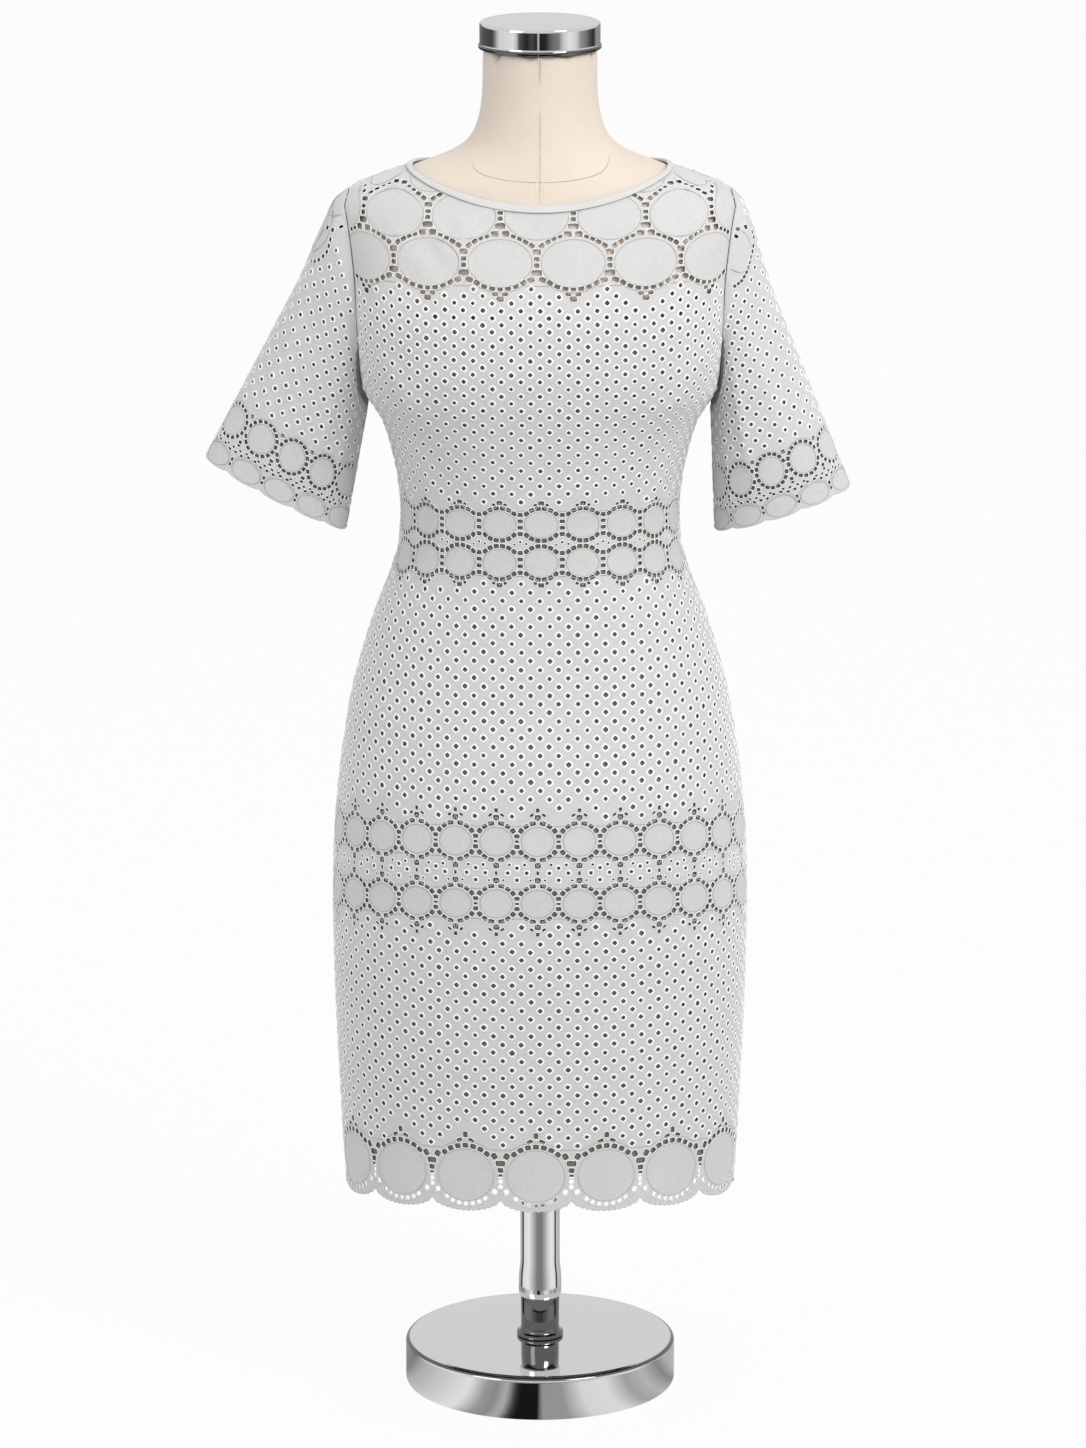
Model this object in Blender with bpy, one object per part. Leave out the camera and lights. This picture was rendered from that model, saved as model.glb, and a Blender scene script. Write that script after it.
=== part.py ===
"""A sheath dress in eyelet cotton with cutwork circles, worn by a limbless dress form on a round stand.

Metres, +Z up. The front faces -Y and +X is to the right of someone who looks at the front.
The origin is the centre of the base's underside, on the floor.

Each cloth panel is drawn flat, in two measures: the way round the body from the centre line, and the
height. That flat pattern, with its scallops and its cut gaps, is then laid on the body's surface.
"""

import math

import bmesh
import bpy
import numpy as np
from mathutils import Matrix, Vector
from mathutils.geometry import delaunay_2d_cdt

# ---------------------------------------------------------------- driving dimensions

CLOTH = 0.0012
SEAM_GAP = 0.0003
LAID_GAP = 0.0003

# The body that the cloth follows, a row for each level:
# height, half width, depth in front of the side seams, depth behind them, squareness of the section.
BODY_LEVELS = (
    (0.150, 0.1630, 0.1110, 0.1200, 2.00),
    (0.175, 0.1636, 0.1120, 0.1205, 2.00),
    (0.216, 0.1660, 0.1135, 0.1220, 2.00),
    (0.269, 0.1687, 0.1160, 0.1240, 2.05),
    (0.322, 0.1709, 0.1190, 0.1260, 2.10),
    (0.375, 0.1727, 0.1215, 0.1275, 2.10),
    (0.427, 0.1733, 0.1235, 0.1280, 2.10),
    (0.480, 0.1719, 0.1240, 0.1280, 2.10),
    (0.532, 0.1678, 0.1195, 0.1265, 2.10),
    (0.571, 0.1625, 0.1135, 0.1225, 2.15),
    (0.600, 0.1578, 0.1080, 0.1180, 2.20),
    (0.636, 0.1487, 0.1030, 0.1110, 2.20),
    (0.674, 0.1368, 0.0985, 0.1020, 2.20),
    (0.713, 0.1220, 0.0955, 0.0935, 2.15),
    (0.738, 0.1160, 0.0945, 0.0900, 2.10),
    (0.764, 0.1150, 0.0945, 0.0880, 2.10),
    (0.789, 0.1172, 0.0965, 0.0870, 2.15),
    (0.815, 0.1224, 0.1005, 0.0875, 2.20),
    (0.840, 0.1300, 0.1060, 0.0890, 2.35),
    (0.857, 0.1400, 0.1100, 0.0905, 2.50),
    (0.870, 0.1470, 0.1130, 0.0915, 2.65),
    (0.900, 0.1525, 0.1170, 0.0935, 2.80),
    (0.930, 0.1555, 0.1160, 0.0945, 2.90),
    (0.964, 0.1590, 0.1080, 0.0935, 2.80),
    (1.000, 0.1632, 0.0925, 0.0880, 2.60),
    (1.018, 0.1640, 0.0820, 0.0820, 2.40),
    (1.0295, 0.1565, 0.0735, 0.0765, 2.20),
    (1.042, 0.1285, 0.0670, 0.0705, 2.05),
    (1.050, 0.1055, 0.0625, 0.0660, 2.00),
    (1.061, 0.0740, 0.0575, 0.0600, 2.00),
    (1.072, 0.0580, 0.0535, 0.0550, 2.00),
    (1.092, 0.0497, 0.0497, 0.0500, 2.00),
    (1.116, 0.0468, 0.0468, 0.0468, 2.00),
    (1.147, 0.0475, 0.0475, 0.0475, 2.00),
)
HEIGHTS, HALF_WIDTHS, FRONT_DEPTHS, BACK_DEPTHS, SQUARENESS = (
    np.array(column) for column in zip(*BODY_LEVELS)
)

# How far the form stands inside the cloth: height, clearance.
FORM_CLEARANCES = (
    (0.420, 0.0100),
    (0.500, 0.0060),
    (0.600, 0.0040),
    (0.760, 0.0032),
    (0.900, 0.0028),
    (1.000, 0.0020),
    (1.018, 0.0026),
    (1.034, 0.0026),
    (1.046, 0.0012),
    (1.062, 0.0004),
    (1.075, 0.0000),
)
FORM_BOTTOM = 0.420
FORM_BOTTOM_ROUND = 0.035
NECK_TOP = 1.147
FORM_SIDES = 36
FORM_ROWS = np.concatenate([
    np.arange(FORM_BOTTOM + FORM_BOTTOM_ROUND, 0.98, 0.038),
    [0.985, 1.003, 1.016, 1.025, 1.032, 1.037, 1.042, 1.047, 1.053, 1.060, 1.068, 1.078, 1.092, 1.112],
    [NECK_TOP],
])

HEM = 0.175
FRONT_LIFT = 0.13  # the front's rows rise by this share of the body's depth there
LIFT_STARTS, LIFT_FULL = 0.950, 0.700

ARMPIT, SHOULDER_TIP = 0.857, 1.0295
ARMHOLE_HALF_WIDTH = 0.056
NECK_SIDE, NECK_FRONT, NECK_BACK = 1.050, 1.0275, 1.037

# The cutwork: rows of plain circles ringed with cut gaps. Sizes are along the cloth.
HEM_CIRCLES = 15
HEM_PITCH = 0.0593
HEM_SCALLOP = 0.0115
BAND_PITCH = 0.0343
BAND_ROWS = (0.4382, 0.4909)
CHEST_PITCH = 0.0593
CHEST_ROW = 0.9863

# Gaps at each cusp between two neighbouring circles: aside, above the reference height, width, height.
HEM_CUSP_GAPS = (
    (-0.0049, 0.0478, 0.0065, 0.0063),
    (0.0049, 0.0478, 0.0065, 0.0063),
    (0.0000, 0.0416, 0.0082, 0.0056),
    (0.0000, 0.0352, 0.0049, 0.0045),
    (-0.0044, 0.0171, 0.0050, 0.0056),
    (0.0044, 0.0171, 0.0050, 0.0056),
)
CHEST_CUSP_GAPS = (
    (0.0000, 0.0110, 0.0073, 0.0045),
    (0.0000, -0.0075, 0.0088, 0.0053),
    (-0.0052, -0.0135, 0.0070, 0.0048),
    (0.0052, -0.0135, 0.0058, 0.0044),
)
CHEST_CLUSTER_GAP = (0.0000, -0.0325, 0.0063, 0.0048)
BAND_CUSP_GAP = (0.0034, 0.0090, 0.0046, 0.0045)
GAP_SIDES = 4

# Sleeves, a row for each: side, outer corner of the cuff (x, z), inner corner of the cuff (x, z).
SLEEVES = (
    ("sleeve_left", -1, (0.277, 0.805), (0.162, 0.744)),
    ("sleeve_right", 1, (0.257, 0.781), (0.146, 0.744)),
)
CUFF_GIRTH = 0.312
CUFF_SCALLOPS = 10
CUFF_SCALLOP = 0.0030
SLEEVE_CROWN = 0.0
SLEEVE_COLUMNS = 3 * CUFF_SCALLOPS
SLEEVE_STEPS = (0.0, 0.05, 0.14, 0.30, 0.52, 0.76, 1.0)

BINDING_WIDTH = 0.006
BINDING_GAP = 0.0005
BINDING_STATIONS = 56
UNDER_BINDING = (0.0030, 0.0068)  # how far below the neckline the panels have rows of points
CLEAR_OF_BINDING = 0.0110

# Stand and neck cap, turned round the pole's axis: radius, height.
BASE_PROFILE = (
    (0.1120, 0.0),
    (0.1146, 0.0020),
    (0.1146, 0.0345),
    (0.1136, 0.0365),
    (0.1112, 0.0380),
)
COLLAR_PROFILE = (
    (0.0180, 0.0383),
    (0.0198, 0.0393),
    (0.0198, 0.0412),
    (0.0172, 0.0426),
    (0.0163, 0.0480),
    (0.0163, 0.0735),
)
POLE_PROFILE = (
    (0.0176, 0.0738),
    (0.0182, 0.0780),
    (0.0182, 0.0880),
    (0.0168, 0.1040),
    (0.0168, 0.4100),
)
PLATE_PROFILE = ((0.0450, 0.4103), (0.0450, 0.4197))
CAP_PROFILE = (
    (0.0490, 1.1473),
    (0.0507, 1.1480),
    (0.0507, 1.1496),
    (0.0496, 1.1506),
    (0.0496, 1.1672),
    (0.0484, 1.1690),
)
ROUND_SIDES = 40

# Zip pull at the top of the centre-back seam. The tab hangs from the slider's bridge.
ZIP_HEIGHT = 1.0225
SLIDER = (0.0040, 0.0090, 0.0014)  # width, length down the back, thickness
BRIDGE_WIDTH = 0.0010
TAB_LENGTH, TAB_WIDTH, TAB_THICKNESS = 0.0210, 0.0056, 0.0010
TAB_EYE = (0.0026, 0.0038)  # width, length of the eye that the bridge goes through
HINGE_OUT = 0.0040  # the hinge's axis, out from the cloth's inner face
TAB_LEAN = math.radians(4.5)  # the tab hangs with its end against the cloth

# ---------------------------------------------------------------- materials

# name: colour, roughness, metallic
FINISHES = {
    "eyelet_cotton": ((0.62, 0.62, 0.63), 0.85, 0.0),
    "form_cover": ((0.86, 0.78, 0.68), 0.70, 0.0),
    "polished_chrome": ((0.80, 0.80, 0.81), 0.08, 1.0),
    "zip_metal": ((0.70, 0.70, 0.71), 0.30, 1.0),
}


def finish(name):
    """The named material, made the first time it is asked for."""
    found = bpy.data.materials.get(name)
    if found:
        return found
    colour, roughness, metallic = FINISHES[name]
    material = bpy.data.materials.new(name)
    material.use_nodes = True
    shader = material.node_tree.nodes["Principled BSDF"]
    shader.inputs["Base Color"].default_value = (*colour, 1.0)
    shader.inputs["Roughness"].default_value = roughness
    shader.inputs["Metallic"].default_value = metallic
    return material


# ---------------------------------------------------------------- the body's surface


def smooth(levels, values, at):
    """Values between the levels on a curve with no overshoot (a monotone cubic)."""
    at = np.asarray(at, float)
    step = np.diff(levels)
    slope = np.diff(values) / step
    tangent = np.zeros(len(levels))
    tangent[0], tangent[-1] = slope[0], slope[-1]
    for i in range(1, len(levels) - 1):
        if slope[i - 1] * slope[i] > 0:
            before, after = 2 * step[i] + step[i - 1], step[i] + 2 * step[i - 1]
            tangent[i] = (before + after) / (before / slope[i - 1] + after / slope[i])
    i = np.clip(np.searchsorted(levels, at) - 1, 0, len(levels) - 2)
    t = np.clip((at - levels[i]) / step[i], 0, 1)
    return (
        values[i] * (1 + 2 * t) * (1 - t) ** 2
        + tangent[i] * step[i] * t * (1 - t) ** 2
        + values[i + 1] * t * t * (3 - 2 * t)
        - tangent[i + 1] * step[i] * t * t * (1 - t)
    )


def ease(x):
    x = np.clip(x, 0, 1)
    return x * x * (3 - 2 * x)


def ring_point(turn, height, behind):
    """Where the section at this height is met at this turn from the centre line, towards +X."""
    depth = smooth(HEIGHTS, BACK_DEPTHS if behind else FRONT_DEPTHS, height)
    square = smooth(HEIGHTS, SQUARENESS, height)
    across, ahead = np.sin(turn), np.cos(turn)
    reach = (np.abs(across) ** square + np.abs(ahead) ** square) ** (-1 / square)
    x = smooth(HEIGHTS, HALF_WIDTHS, height) * across * reach
    y = depth * ahead * reach * (1 if behind else -1)
    return np.stack([x, y, np.broadcast_to(height, x.shape)], axis=-1)


class Quarter:
    """The way round one quarter of the body, from its centre line to its side, at every height."""

    def __init__(self, behind):
        self.behind = behind
        self.levels = np.linspace(HEIGHTS[0], HEIGHTS[-1], 500)
        self.turns = np.linspace(0, math.pi / 2, 121)
        rings = ring_point(self.turns[None, :], self.levels[:, None], behind)
        steps = np.linalg.norm(np.diff(rings, axis=1), axis=2)
        self.way = np.concatenate([np.zeros((len(self.levels), 1)), np.cumsum(steps, axis=1)], axis=1)
        self.lengths = self.way[:, -1]
        self.shares = np.linspace(0, 1, 81)
        self.table = np.array([np.interp(self.shares, w / w[-1], self.turns) for w in self.way])

    def length(self, height):
        return np.interp(height, self.levels, self.lengths)

    def turn(self, way, height):
        """The turn at which a tape laid round from the centre line reads this way."""
        share = np.clip(way / self.length(height), 0, 1) * (len(self.shares) - 1)
        level = np.interp(height, self.levels, np.arange(len(self.levels)))
        row = np.minimum(level.astype(int), len(self.levels) - 2)
        column = np.minimum(share.astype(int), len(self.shares) - 2)
        up, along = level - row, share - column
        low = self.table[row, column] * (1 - along) + self.table[row, column + 1] * along
        high = self.table[row + 1, column] * (1 - along) + self.table[row + 1, column + 1] * along
        return low * (1 - up) + high * up


FRONT, BACK = Quarter(behind=False), Quarter(behind=True)


def fullness(points):
    """Under 1 inside the body, over 1 outside it."""
    x, y, height = points[..., 0], points[..., 1], points[..., 2]
    depth = np.where(
        y > 0, smooth(HEIGHTS, BACK_DEPTHS, height), smooth(HEIGHTS, FRONT_DEPTHS, height)
    )
    square = smooth(HEIGHTS, SQUARENESS, height)
    width = smooth(HEIGHTS, HALF_WIDTHS, height)
    return np.abs(x / width) ** square + np.abs(y / depth) ** square


def outward(points):
    """The body's unit normals at these points."""
    nudge = 0.0002
    normals = np.empty_like(points)
    for axis in range(3):
        step = np.zeros(3)
        step[axis] = nudge
        normals[..., axis] = fullness(points + step) - fullness(points - step)
    return normals / np.linalg.norm(normals, axis=-1, keepdims=True)


def lift(height):
    """How far the front's rows rise at the centre line."""
    rise = ease((LIFT_STARTS - height) / (LIFT_STARTS - LIFT_FULL))
    return FRONT_LIFT * rise * smooth(HEIGHTS, FRONT_DEPTHS, height)


def on_body(quarter, way, height):
    """Points on the body: way is from the centre line, negative towards -X."""
    way, height = np.asarray(way, float), np.asarray(height, float)
    if not quarter.behind:
        height = height + lift(height) * np.cos(quarter.turn(np.abs(way), height))
    turn = quarter.turn(np.abs(way), height) * np.where(way < 0, -1, 1)
    return ring_point(turn, height, quarter.behind)


# ---------------------------------------------------------------- armholes, neckline and scallops


def armhole(share):
    """Way in from the side and height, at this share of the armhole's seam.

    It starts at the shoulder tip and goes down the front; the second half comes up the back.
    """
    turns = np.linspace(0, 2 * math.pi, 721)
    half_height = (SHOULDER_TIP - ARMPIT) / 2
    steps = np.hypot(
        np.diff(ARMHOLE_HALF_WIDTH * np.sin(turns)), np.diff(half_height * np.cos(turns))
    )
    way = np.concatenate([[0], np.cumsum(steps)])
    turn = np.interp(share, way / way[-1], turns)
    return ARMHOLE_HALF_WIDTH * np.sin(turn), ARMPIT + half_height * (1 + np.cos(turn))


ARMHOLE_SHARES = np.arange(SLEEVE_COLUMNS) / SLEEVE_COLUMNS


def neckline(share, middle):
    """Height of the neckline at this share of the way from the middle to the shoulder."""
    return middle + (NECK_SIDE - middle) * ease(np.abs(share) ** 1.15)


def scallop(way, pitch, depth):
    """How far a scalloped edge stands above its tips. A tip is at way 0."""
    across = 2 * np.abs(way / pitch - np.round(way / pitch))
    return depth * (1 - np.sqrt(np.clip(1 - across**2, 0, 1)))


# ---------------------------------------------------------------- from a flat pattern to a wall


def inside(polygon, points):
    """Whether each point lies inside the closed polygon."""
    x, y = points[:, 0], points[:, 1]
    found = np.zeros(len(points), bool)
    for (x0, y0), (x1, y1) in zip(polygon, np.roll(polygon, -1, axis=0)):
        crosses = (y0 > y) != (y1 > y)
        if y0 != y1:
            found ^= crosses & (x < (x1 - x0) * (y - y0) / (y1 - y0) + x0)
    return found


def clearance(polygon, points):
    """Distance from each point to the polygon's nearest side."""
    ends = np.roll(polygon, -1, axis=0)
    nearest = np.full(len(points), np.inf)
    for start, end in zip(polygon, ends):
        side = end - start
        t = np.clip((points - start) @ side / (side @ side), 0, 1)
        nearest = np.minimum(nearest, np.linalg.norm(points - start - t[:, None] * side, axis=1))
    return nearest


def cut_gaps(outline, gaps, margin=0.0035):
    """The gaps that fit whole inside the outline, as polygons."""
    polygons = []
    for way, height, width, tall in gaps:
        turns = 2 * math.pi * (np.arange(GAP_SIDES) + 0.5) / GAP_SIDES
        corner = np.stack([np.cos(turns) * width, np.sin(turns) * tall], axis=1) / math.sqrt(2)
        polygon = corner + (way, height)
        if inside(outline, polygon).all() and clearance(outline, polygon).min() > margin:
            polygons.append(polygon)
    return polygons


def anticlockwise(loop):
    x, y = np.array(loop).T
    return loop if x @ np.roll(y, -1) > y @ np.roll(x, -1) else loop[::-1]


def triangulate(outline, gaps, fill):
    """Points and triangles of the flat pattern inside the outline, less its gaps."""
    points, loops = [], []
    for loop in [outline, *gaps]:
        loops.append(list(range(len(points), len(points) + len(loop))))
        points += [Vector(p) for p in anticlockwise(loop)]
    points += [Vector(p) for p in fill]
    flat, _, triangles, _, _, owners = delaunay_2d_cdt(points, [], loops, 0, 1e-6, True)
    cloth_only = [0]
    kept = [face for face, owner in zip(triangles, owners) if owner == cloth_only]
    return np.array([tuple(p) for p in flat]), np.array(kept)


def wall(outer, inner, triangles):
    """Vertices and faces of the closed wall between two sheets of the same triangles."""
    edges = np.concatenate([triangles[:, [0, 1]], triangles[:, [1, 2]], triangles[:, [2, 0]]])
    known = set(map(tuple, edges))
    rim = [(a, b) for a, b in edges if (b, a) not in known]
    count = len(outer)
    faces = [tuple(face) for face in triangles]
    faces += [(c + count, b + count, a + count) for a, b, c in triangles]
    faces += [(b, a, a + count, b + count) for a, b in rim]
    return np.concatenate([outer, inner]), faces


def tube(rings, sides):
    """Faces that join rings of points, with both ends closed."""
    faces = [
        (i + j, i + (j + 1) % sides, i + sides + (j + 1) % sides, i + sides + j)
        for i in range(0, (rings - 1) * sides, sides)
        for j in range(sides)
    ]
    last = (rings - 1) * sides
    return [*faces, tuple(reversed(range(sides))), tuple(range(last, last + sides))]


def add_object(name, points, faces, material, smooth_under=40):
    """A closed mesh as a new object, facing out, with its free points dropped."""
    mesh = bpy.data.meshes.new(name)
    mesh.from_pydata([tuple(p) for p in points], [], [tuple(map(int, f)) for f in faces])
    shape = bmesh.new()
    shape.from_mesh(mesh)
    bmesh.ops.delete(shape, geom=[v for v in shape.verts if not v.link_faces], context="VERTS")
    bmesh.ops.recalc_face_normals(shape, faces=shape.faces)
    shape.to_mesh(mesh)
    shape.free()
    mesh.shade_smooth()
    mesh.set_sharp_from_angle(angle=math.radians(smooth_under))
    mesh.materials.append(finish(material))
    made = bpy.data.objects.new(name, mesh)
    bpy.context.collection.objects.link(made)
    return made


def below_neckline(quarter, way, middle, distance):
    """The height at which the cloth is this far below the neckline's edge."""
    height = neckline(way / quarter.length(NECK_SIDE), middle)
    edge, lower = on_body(quarter, way, height), on_body(quarter, way, height - 0.002)
    return height - distance * 0.002 / np.linalg.norm(lower - edge, axis=-1)


def panel(name, quarter, middle, outline, gaps):
    """A cloth panel: the flat pattern laid on the body and given its thickness."""
    grid = np.stack(np.meshgrid(PANEL_COLUMNS, PANEL_ROWS), axis=-1).reshape(-1, 2)
    grid = grid[inside(outline, grid)]
    grid = grid[grid[:, 1] < below_neckline(quarter, grid[:, 0], middle, CLEAR_OF_BINDING)]
    room = clearance(outline, grid)
    for gap in gaps:
        room = np.minimum(room, np.where(inside(gap, grid), 0, clearance(gap, grid)))
    margin = np.where(grid[:, 1] > SHOULDER_ROWS, 0.0028, 0.006)
    ways = np.concatenate([-NECK_SHARES[-2:0:-1], NECK_SHARES[:-1]]) * quarter.length(NECK_SIDE)
    rows = [below_neckline(quarter, ways, middle, distance) for distance in UNDER_BINDING]
    under = np.concatenate([np.stack([ways, row], axis=1) for row in rows])
    fill = np.concatenate([grid[room > margin], under[inside(outline, under)]])
    flat, triangles = triangulate(outline, gaps, fill)
    inner = on_body(quarter, flat[:, 0], flat[:, 1])
    outer = inner + outward(inner) * CLOTH
    return add_object(name, *wall(outer, inner, triangles), "eyelet_cotton")


# ---------------------------------------------------------------- the dress's panels

SHOULDER_ROWS = 1.0  # above this height the cloth turns over the shoulder, so its points lie closer
SIDE_ROWS = np.concatenate([np.arange(0.205, 0.83, 0.034), [0.840]])
PANEL_COLUMNS = np.arange(-13, 14) * 0.018
PANEL_ROWS = np.concatenate([
    np.arange(0.210, 0.70, 0.036),
    np.arange(0.700, 0.98, 0.026),
    [0.990, 1.003, 1.013, 1.021, 1.027, 1.033, 1.038, 1.043],
])
CENTRE_BACK_ROWS = np.concatenate([np.arange(1.031, 0.97, -0.008), np.arange(0.955, 0.2, -0.036)])
HEM_PARTS = (0.0, 0.22, 0.40, 0.5)  # where a half scallop's edge is sampled, in pitches from its tip
NECK_SHARES = np.linspace(0, 1, BINDING_STATIONS // 4 + 1)


def hem_edge(low, high):
    """Ways and heights along the scalloped hem between two ways, from the centre front's count."""
    tips = np.arange(-HEM_CIRCLES, HEM_CIRCLES + 1) * HEM_PITCH
    parts = [sign * part * HEM_PITCH for part in HEM_PARTS for sign in (-1, 1)]
    ways = np.unique(np.round([tip + part for tip in tips for part in parts], 6))
    ways = ways[(ways > low + 0.004) & (ways < high - 0.004)]
    ways = np.concatenate([[low], ways, [high]])
    return ways, HEM + scallop(ways, HEM_PITCH, HEM_SCALLOP)


def half_outline(quarter, middle, hem_shift):
    """The seam side of half a panel, from the hem's side corner up to the neckline's middle."""
    hem_side = HEM + scallop(quarter.length(HEM) + hem_shift, HEM_PITCH, HEM_SCALLOP)
    heights = np.concatenate([[hem_side], SIDE_ROWS])
    points = [(quarter.length(h) - SEAM_GAP / 2, h) for h in heights]
    share = ARMHOLE_SHARES[(ARMHOLE_SHARES > 0) & (ARMHOLE_SHARES < 0.5)][::-1]
    in_from_side, height = armhole(share)
    points.append((quarter.length(ARMPIT) - SEAM_GAP / 2, ARMPIT))
    points += [(quarter.length(h) - w - SEAM_GAP / 2, h) for w, h in zip(in_from_side, height)]
    for h in np.linspace(SHOULDER_TIP, NECK_SIDE, 5):
        points.append((quarter.length(h) - SEAM_GAP / 2, h))
    width = quarter.length(NECK_SIDE)
    points += [(share * width, neckline(share, middle)) for share in NECK_SHARES[-2::-1]]
    return np.array(points)


def repeat(gaps, pitch, height, reach, phase=0.5):
    """The gaps at each cusp of a row of circles, out to the reach on both sides."""
    count = int(reach / pitch) + 1
    return [
        ((k + phase) * pitch + aside, height + above, width, tall)
        for k in range(-count - 1, count + 1)
        for aside, above, width, tall in gaps
    ]


def cutwork(hem_phase, band_phase, chest_phase):
    """Every gap that is cut through a panel, before those off its edges are dropped."""
    aside, above, width, tall = BAND_CUSP_GAP
    gaps = repeat(HEM_CUSP_GAPS, HEM_PITCH, HEM, 0.23, hem_phase)
    for row, sign in zip(BAND_ROWS, (-1, 1)):
        gaps += repeat([(aside, sign * above, width, tall)], BAND_PITCH, row, 0.24, band_phase)
    gaps += repeat(CHEST_CUSP_GAPS, CHEST_PITCH, CHEST_ROW, 0.20, chest_phase)
    gaps += repeat([CHEST_CLUSTER_GAP], CHEST_PITCH, CHEST_ROW, 0.15, chest_phase + 0.5)
    return gaps


def make_front():
    side = half_outline(FRONT, NECK_FRONT, 0.0)
    low = FRONT.length(HEM) - SEAM_GAP / 2
    ways, heights = hem_edge(-low, low)
    hem = np.stack([ways, heights], axis=1)[1:-1]
    mirrored = (side * (-1, 1))[::-1]
    outline = np.concatenate([hem, side, mirrored[1:]])
    gaps = cut_gaps(outline, cutwork(0.5, 0.5, 0.0))
    return panel("dress_front", FRONT, NECK_FRONT, outline, gaps)


def make_back(name, sign):
    """Half the back, from the centre-back seam to the side. Its hem has a cusp at that seam."""
    side = half_outline(BACK, NECK_BACK, HEM_PITCH / 2)
    low = BACK.length(HEM) - SEAM_GAP / 2
    shift = HEM_PITCH / 2
    ways, heights = hem_edge(SEAM_GAP / 2 + shift, low + shift)
    hem = np.stack([ways - shift, heights], axis=1)[:-1]
    side[-1, 0] = SEAM_GAP / 2
    centre = [(SEAM_GAP / 2, h) for h in CENTRE_BACK_ROWS]
    outline = np.concatenate([hem, side, centre])
    gaps = cut_gaps(outline, cutwork(0.0, 0.0, 0.5))
    if sign < 0:
        outline = (outline * (-1, 1))[::-1]
        gaps = [(gap * (-1, 1))[::-1] for gap in gaps]
    return panel(name, BACK, NECK_BACK, outline, gaps)


# ---------------------------------------------------------------- sleeves


def armhole_ring(shares, sign):
    """The seam's points, just outside the panels' edges, and the body's normals there."""
    in_from_side, height = armhole(shares)
    front = on_body(FRONT, FRONT.length(height) - np.abs(in_from_side), height)
    back = on_body(BACK, BACK.length(height) - np.abs(in_from_side), height)
    points = np.where((in_from_side >= 0)[:, None], front, back)
    normals = outward(points)
    points = points + normals * (CLOTH + LAID_GAP)
    return points * (sign, 1, 1), normals * (sign, 1, 1)


def cuff_half_depth(half_width):
    """Half the cuff's thickness, front to back, that gives it its girth (by halving)."""
    thin, thick = 0.005, half_width
    turns = np.linspace(0, 2 * math.pi, 361)
    for _ in range(40):
        depth = (thin + thick) / 2
        steps = np.hypot(np.diff(half_width * np.cos(turns)), np.diff(depth * np.sin(turns)))
        if steps.sum() < CUFF_GIRTH:
            thin = depth
        else:
            thick = depth
    return depth


def cuff_ring(shares, sign, outer, inner):
    """The cuff's points, an ellipse across its two corners."""
    outer, inner = np.array(outer), np.array(inner)
    centre, arm = (outer + inner) / 2, (outer - inner) / 2
    depth = cuff_half_depth(np.linalg.norm(arm))
    turns = np.linspace(0, 2 * math.pi, 721)
    steps = np.hypot(
        np.diff(np.linalg.norm(arm) * np.cos(turns)), np.diff(depth * np.sin(turns))
    )
    way = np.concatenate([[0], np.cumsum(steps)])
    turn = np.interp(shares, way / way[-1], turns)
    x = centre[0] + arm[0] * np.cos(turn)
    z = centre[1] + arm[1] * np.cos(turn)
    return np.stack([sign * x, -depth * np.sin(turn), z], axis=1)


def sleeve_grid(sign, outer, inner):
    """Rings from the armhole to the cuff, and the directions in which the cloth gains thickness."""
    shares = ARMHOLE_SHARES
    top, body_normals = armhole_ring(shares, sign)
    end = cuff_ring(shares, sign, outer, inner)
    rise = scallop((shares - 0.5 / CUFF_SCALLOPS) * CUFF_SCALLOPS, 1.0, CUFF_SCALLOP)
    rings = []
    for step in SLEEVE_STEPS:
        ring = top + (end - top) * step
        crown = SLEEVE_CROWN * math.sin(math.pi * step) * (1 + np.cos(2 * math.pi * shares)) / 2
        ring[:, 0] += sign * crown
        if step == SLEEVE_STEPS[-1]:
            along = (end - top) / np.linalg.norm(end - top, axis=1, keepdims=True)
            ring = ring - along * rise[:, None]
        rings.append(ring)
    grid = np.array(rings)
    round_it = np.roll(grid, -1, axis=1) - np.roll(grid, 1, axis=1)
    normals = np.cross(round_it, np.gradient(grid, axis=0)) * sign
    normals /= np.linalg.norm(normals, axis=2, keepdims=True)
    for i, step in enumerate(SLEEVE_STEPS):
        share = ease(np.array(step / 0.14))
        mixed = body_normals * (1 - share) + normals[i] * share
        normals[i] = mixed / np.linalg.norm(mixed, axis=1, keepdims=True)
    return grid, normals


def make_sleeve(name, sign, outer, inner):
    grid, normals = sleeve_grid(sign, outer, inner)
    rows, columns = grid.shape[:2]
    triangles = []
    for i in range(rows - 1):
        for j in range(columns):
            a, b = i * columns + j, i * columns + (j + 1) % columns
            c, d = b + columns, a + columns
            triangles += [(a, b, c), (a, c, d)]
    outer_points = (grid + normals * CLOTH).reshape(-1, 3)
    return add_object(
        name, *wall(outer_points, grid.reshape(-1, 3), np.array(triangles)), "eyelet_cotton"
    )


# ---------------------------------------------------------------- neck binding and zip pull


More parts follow.
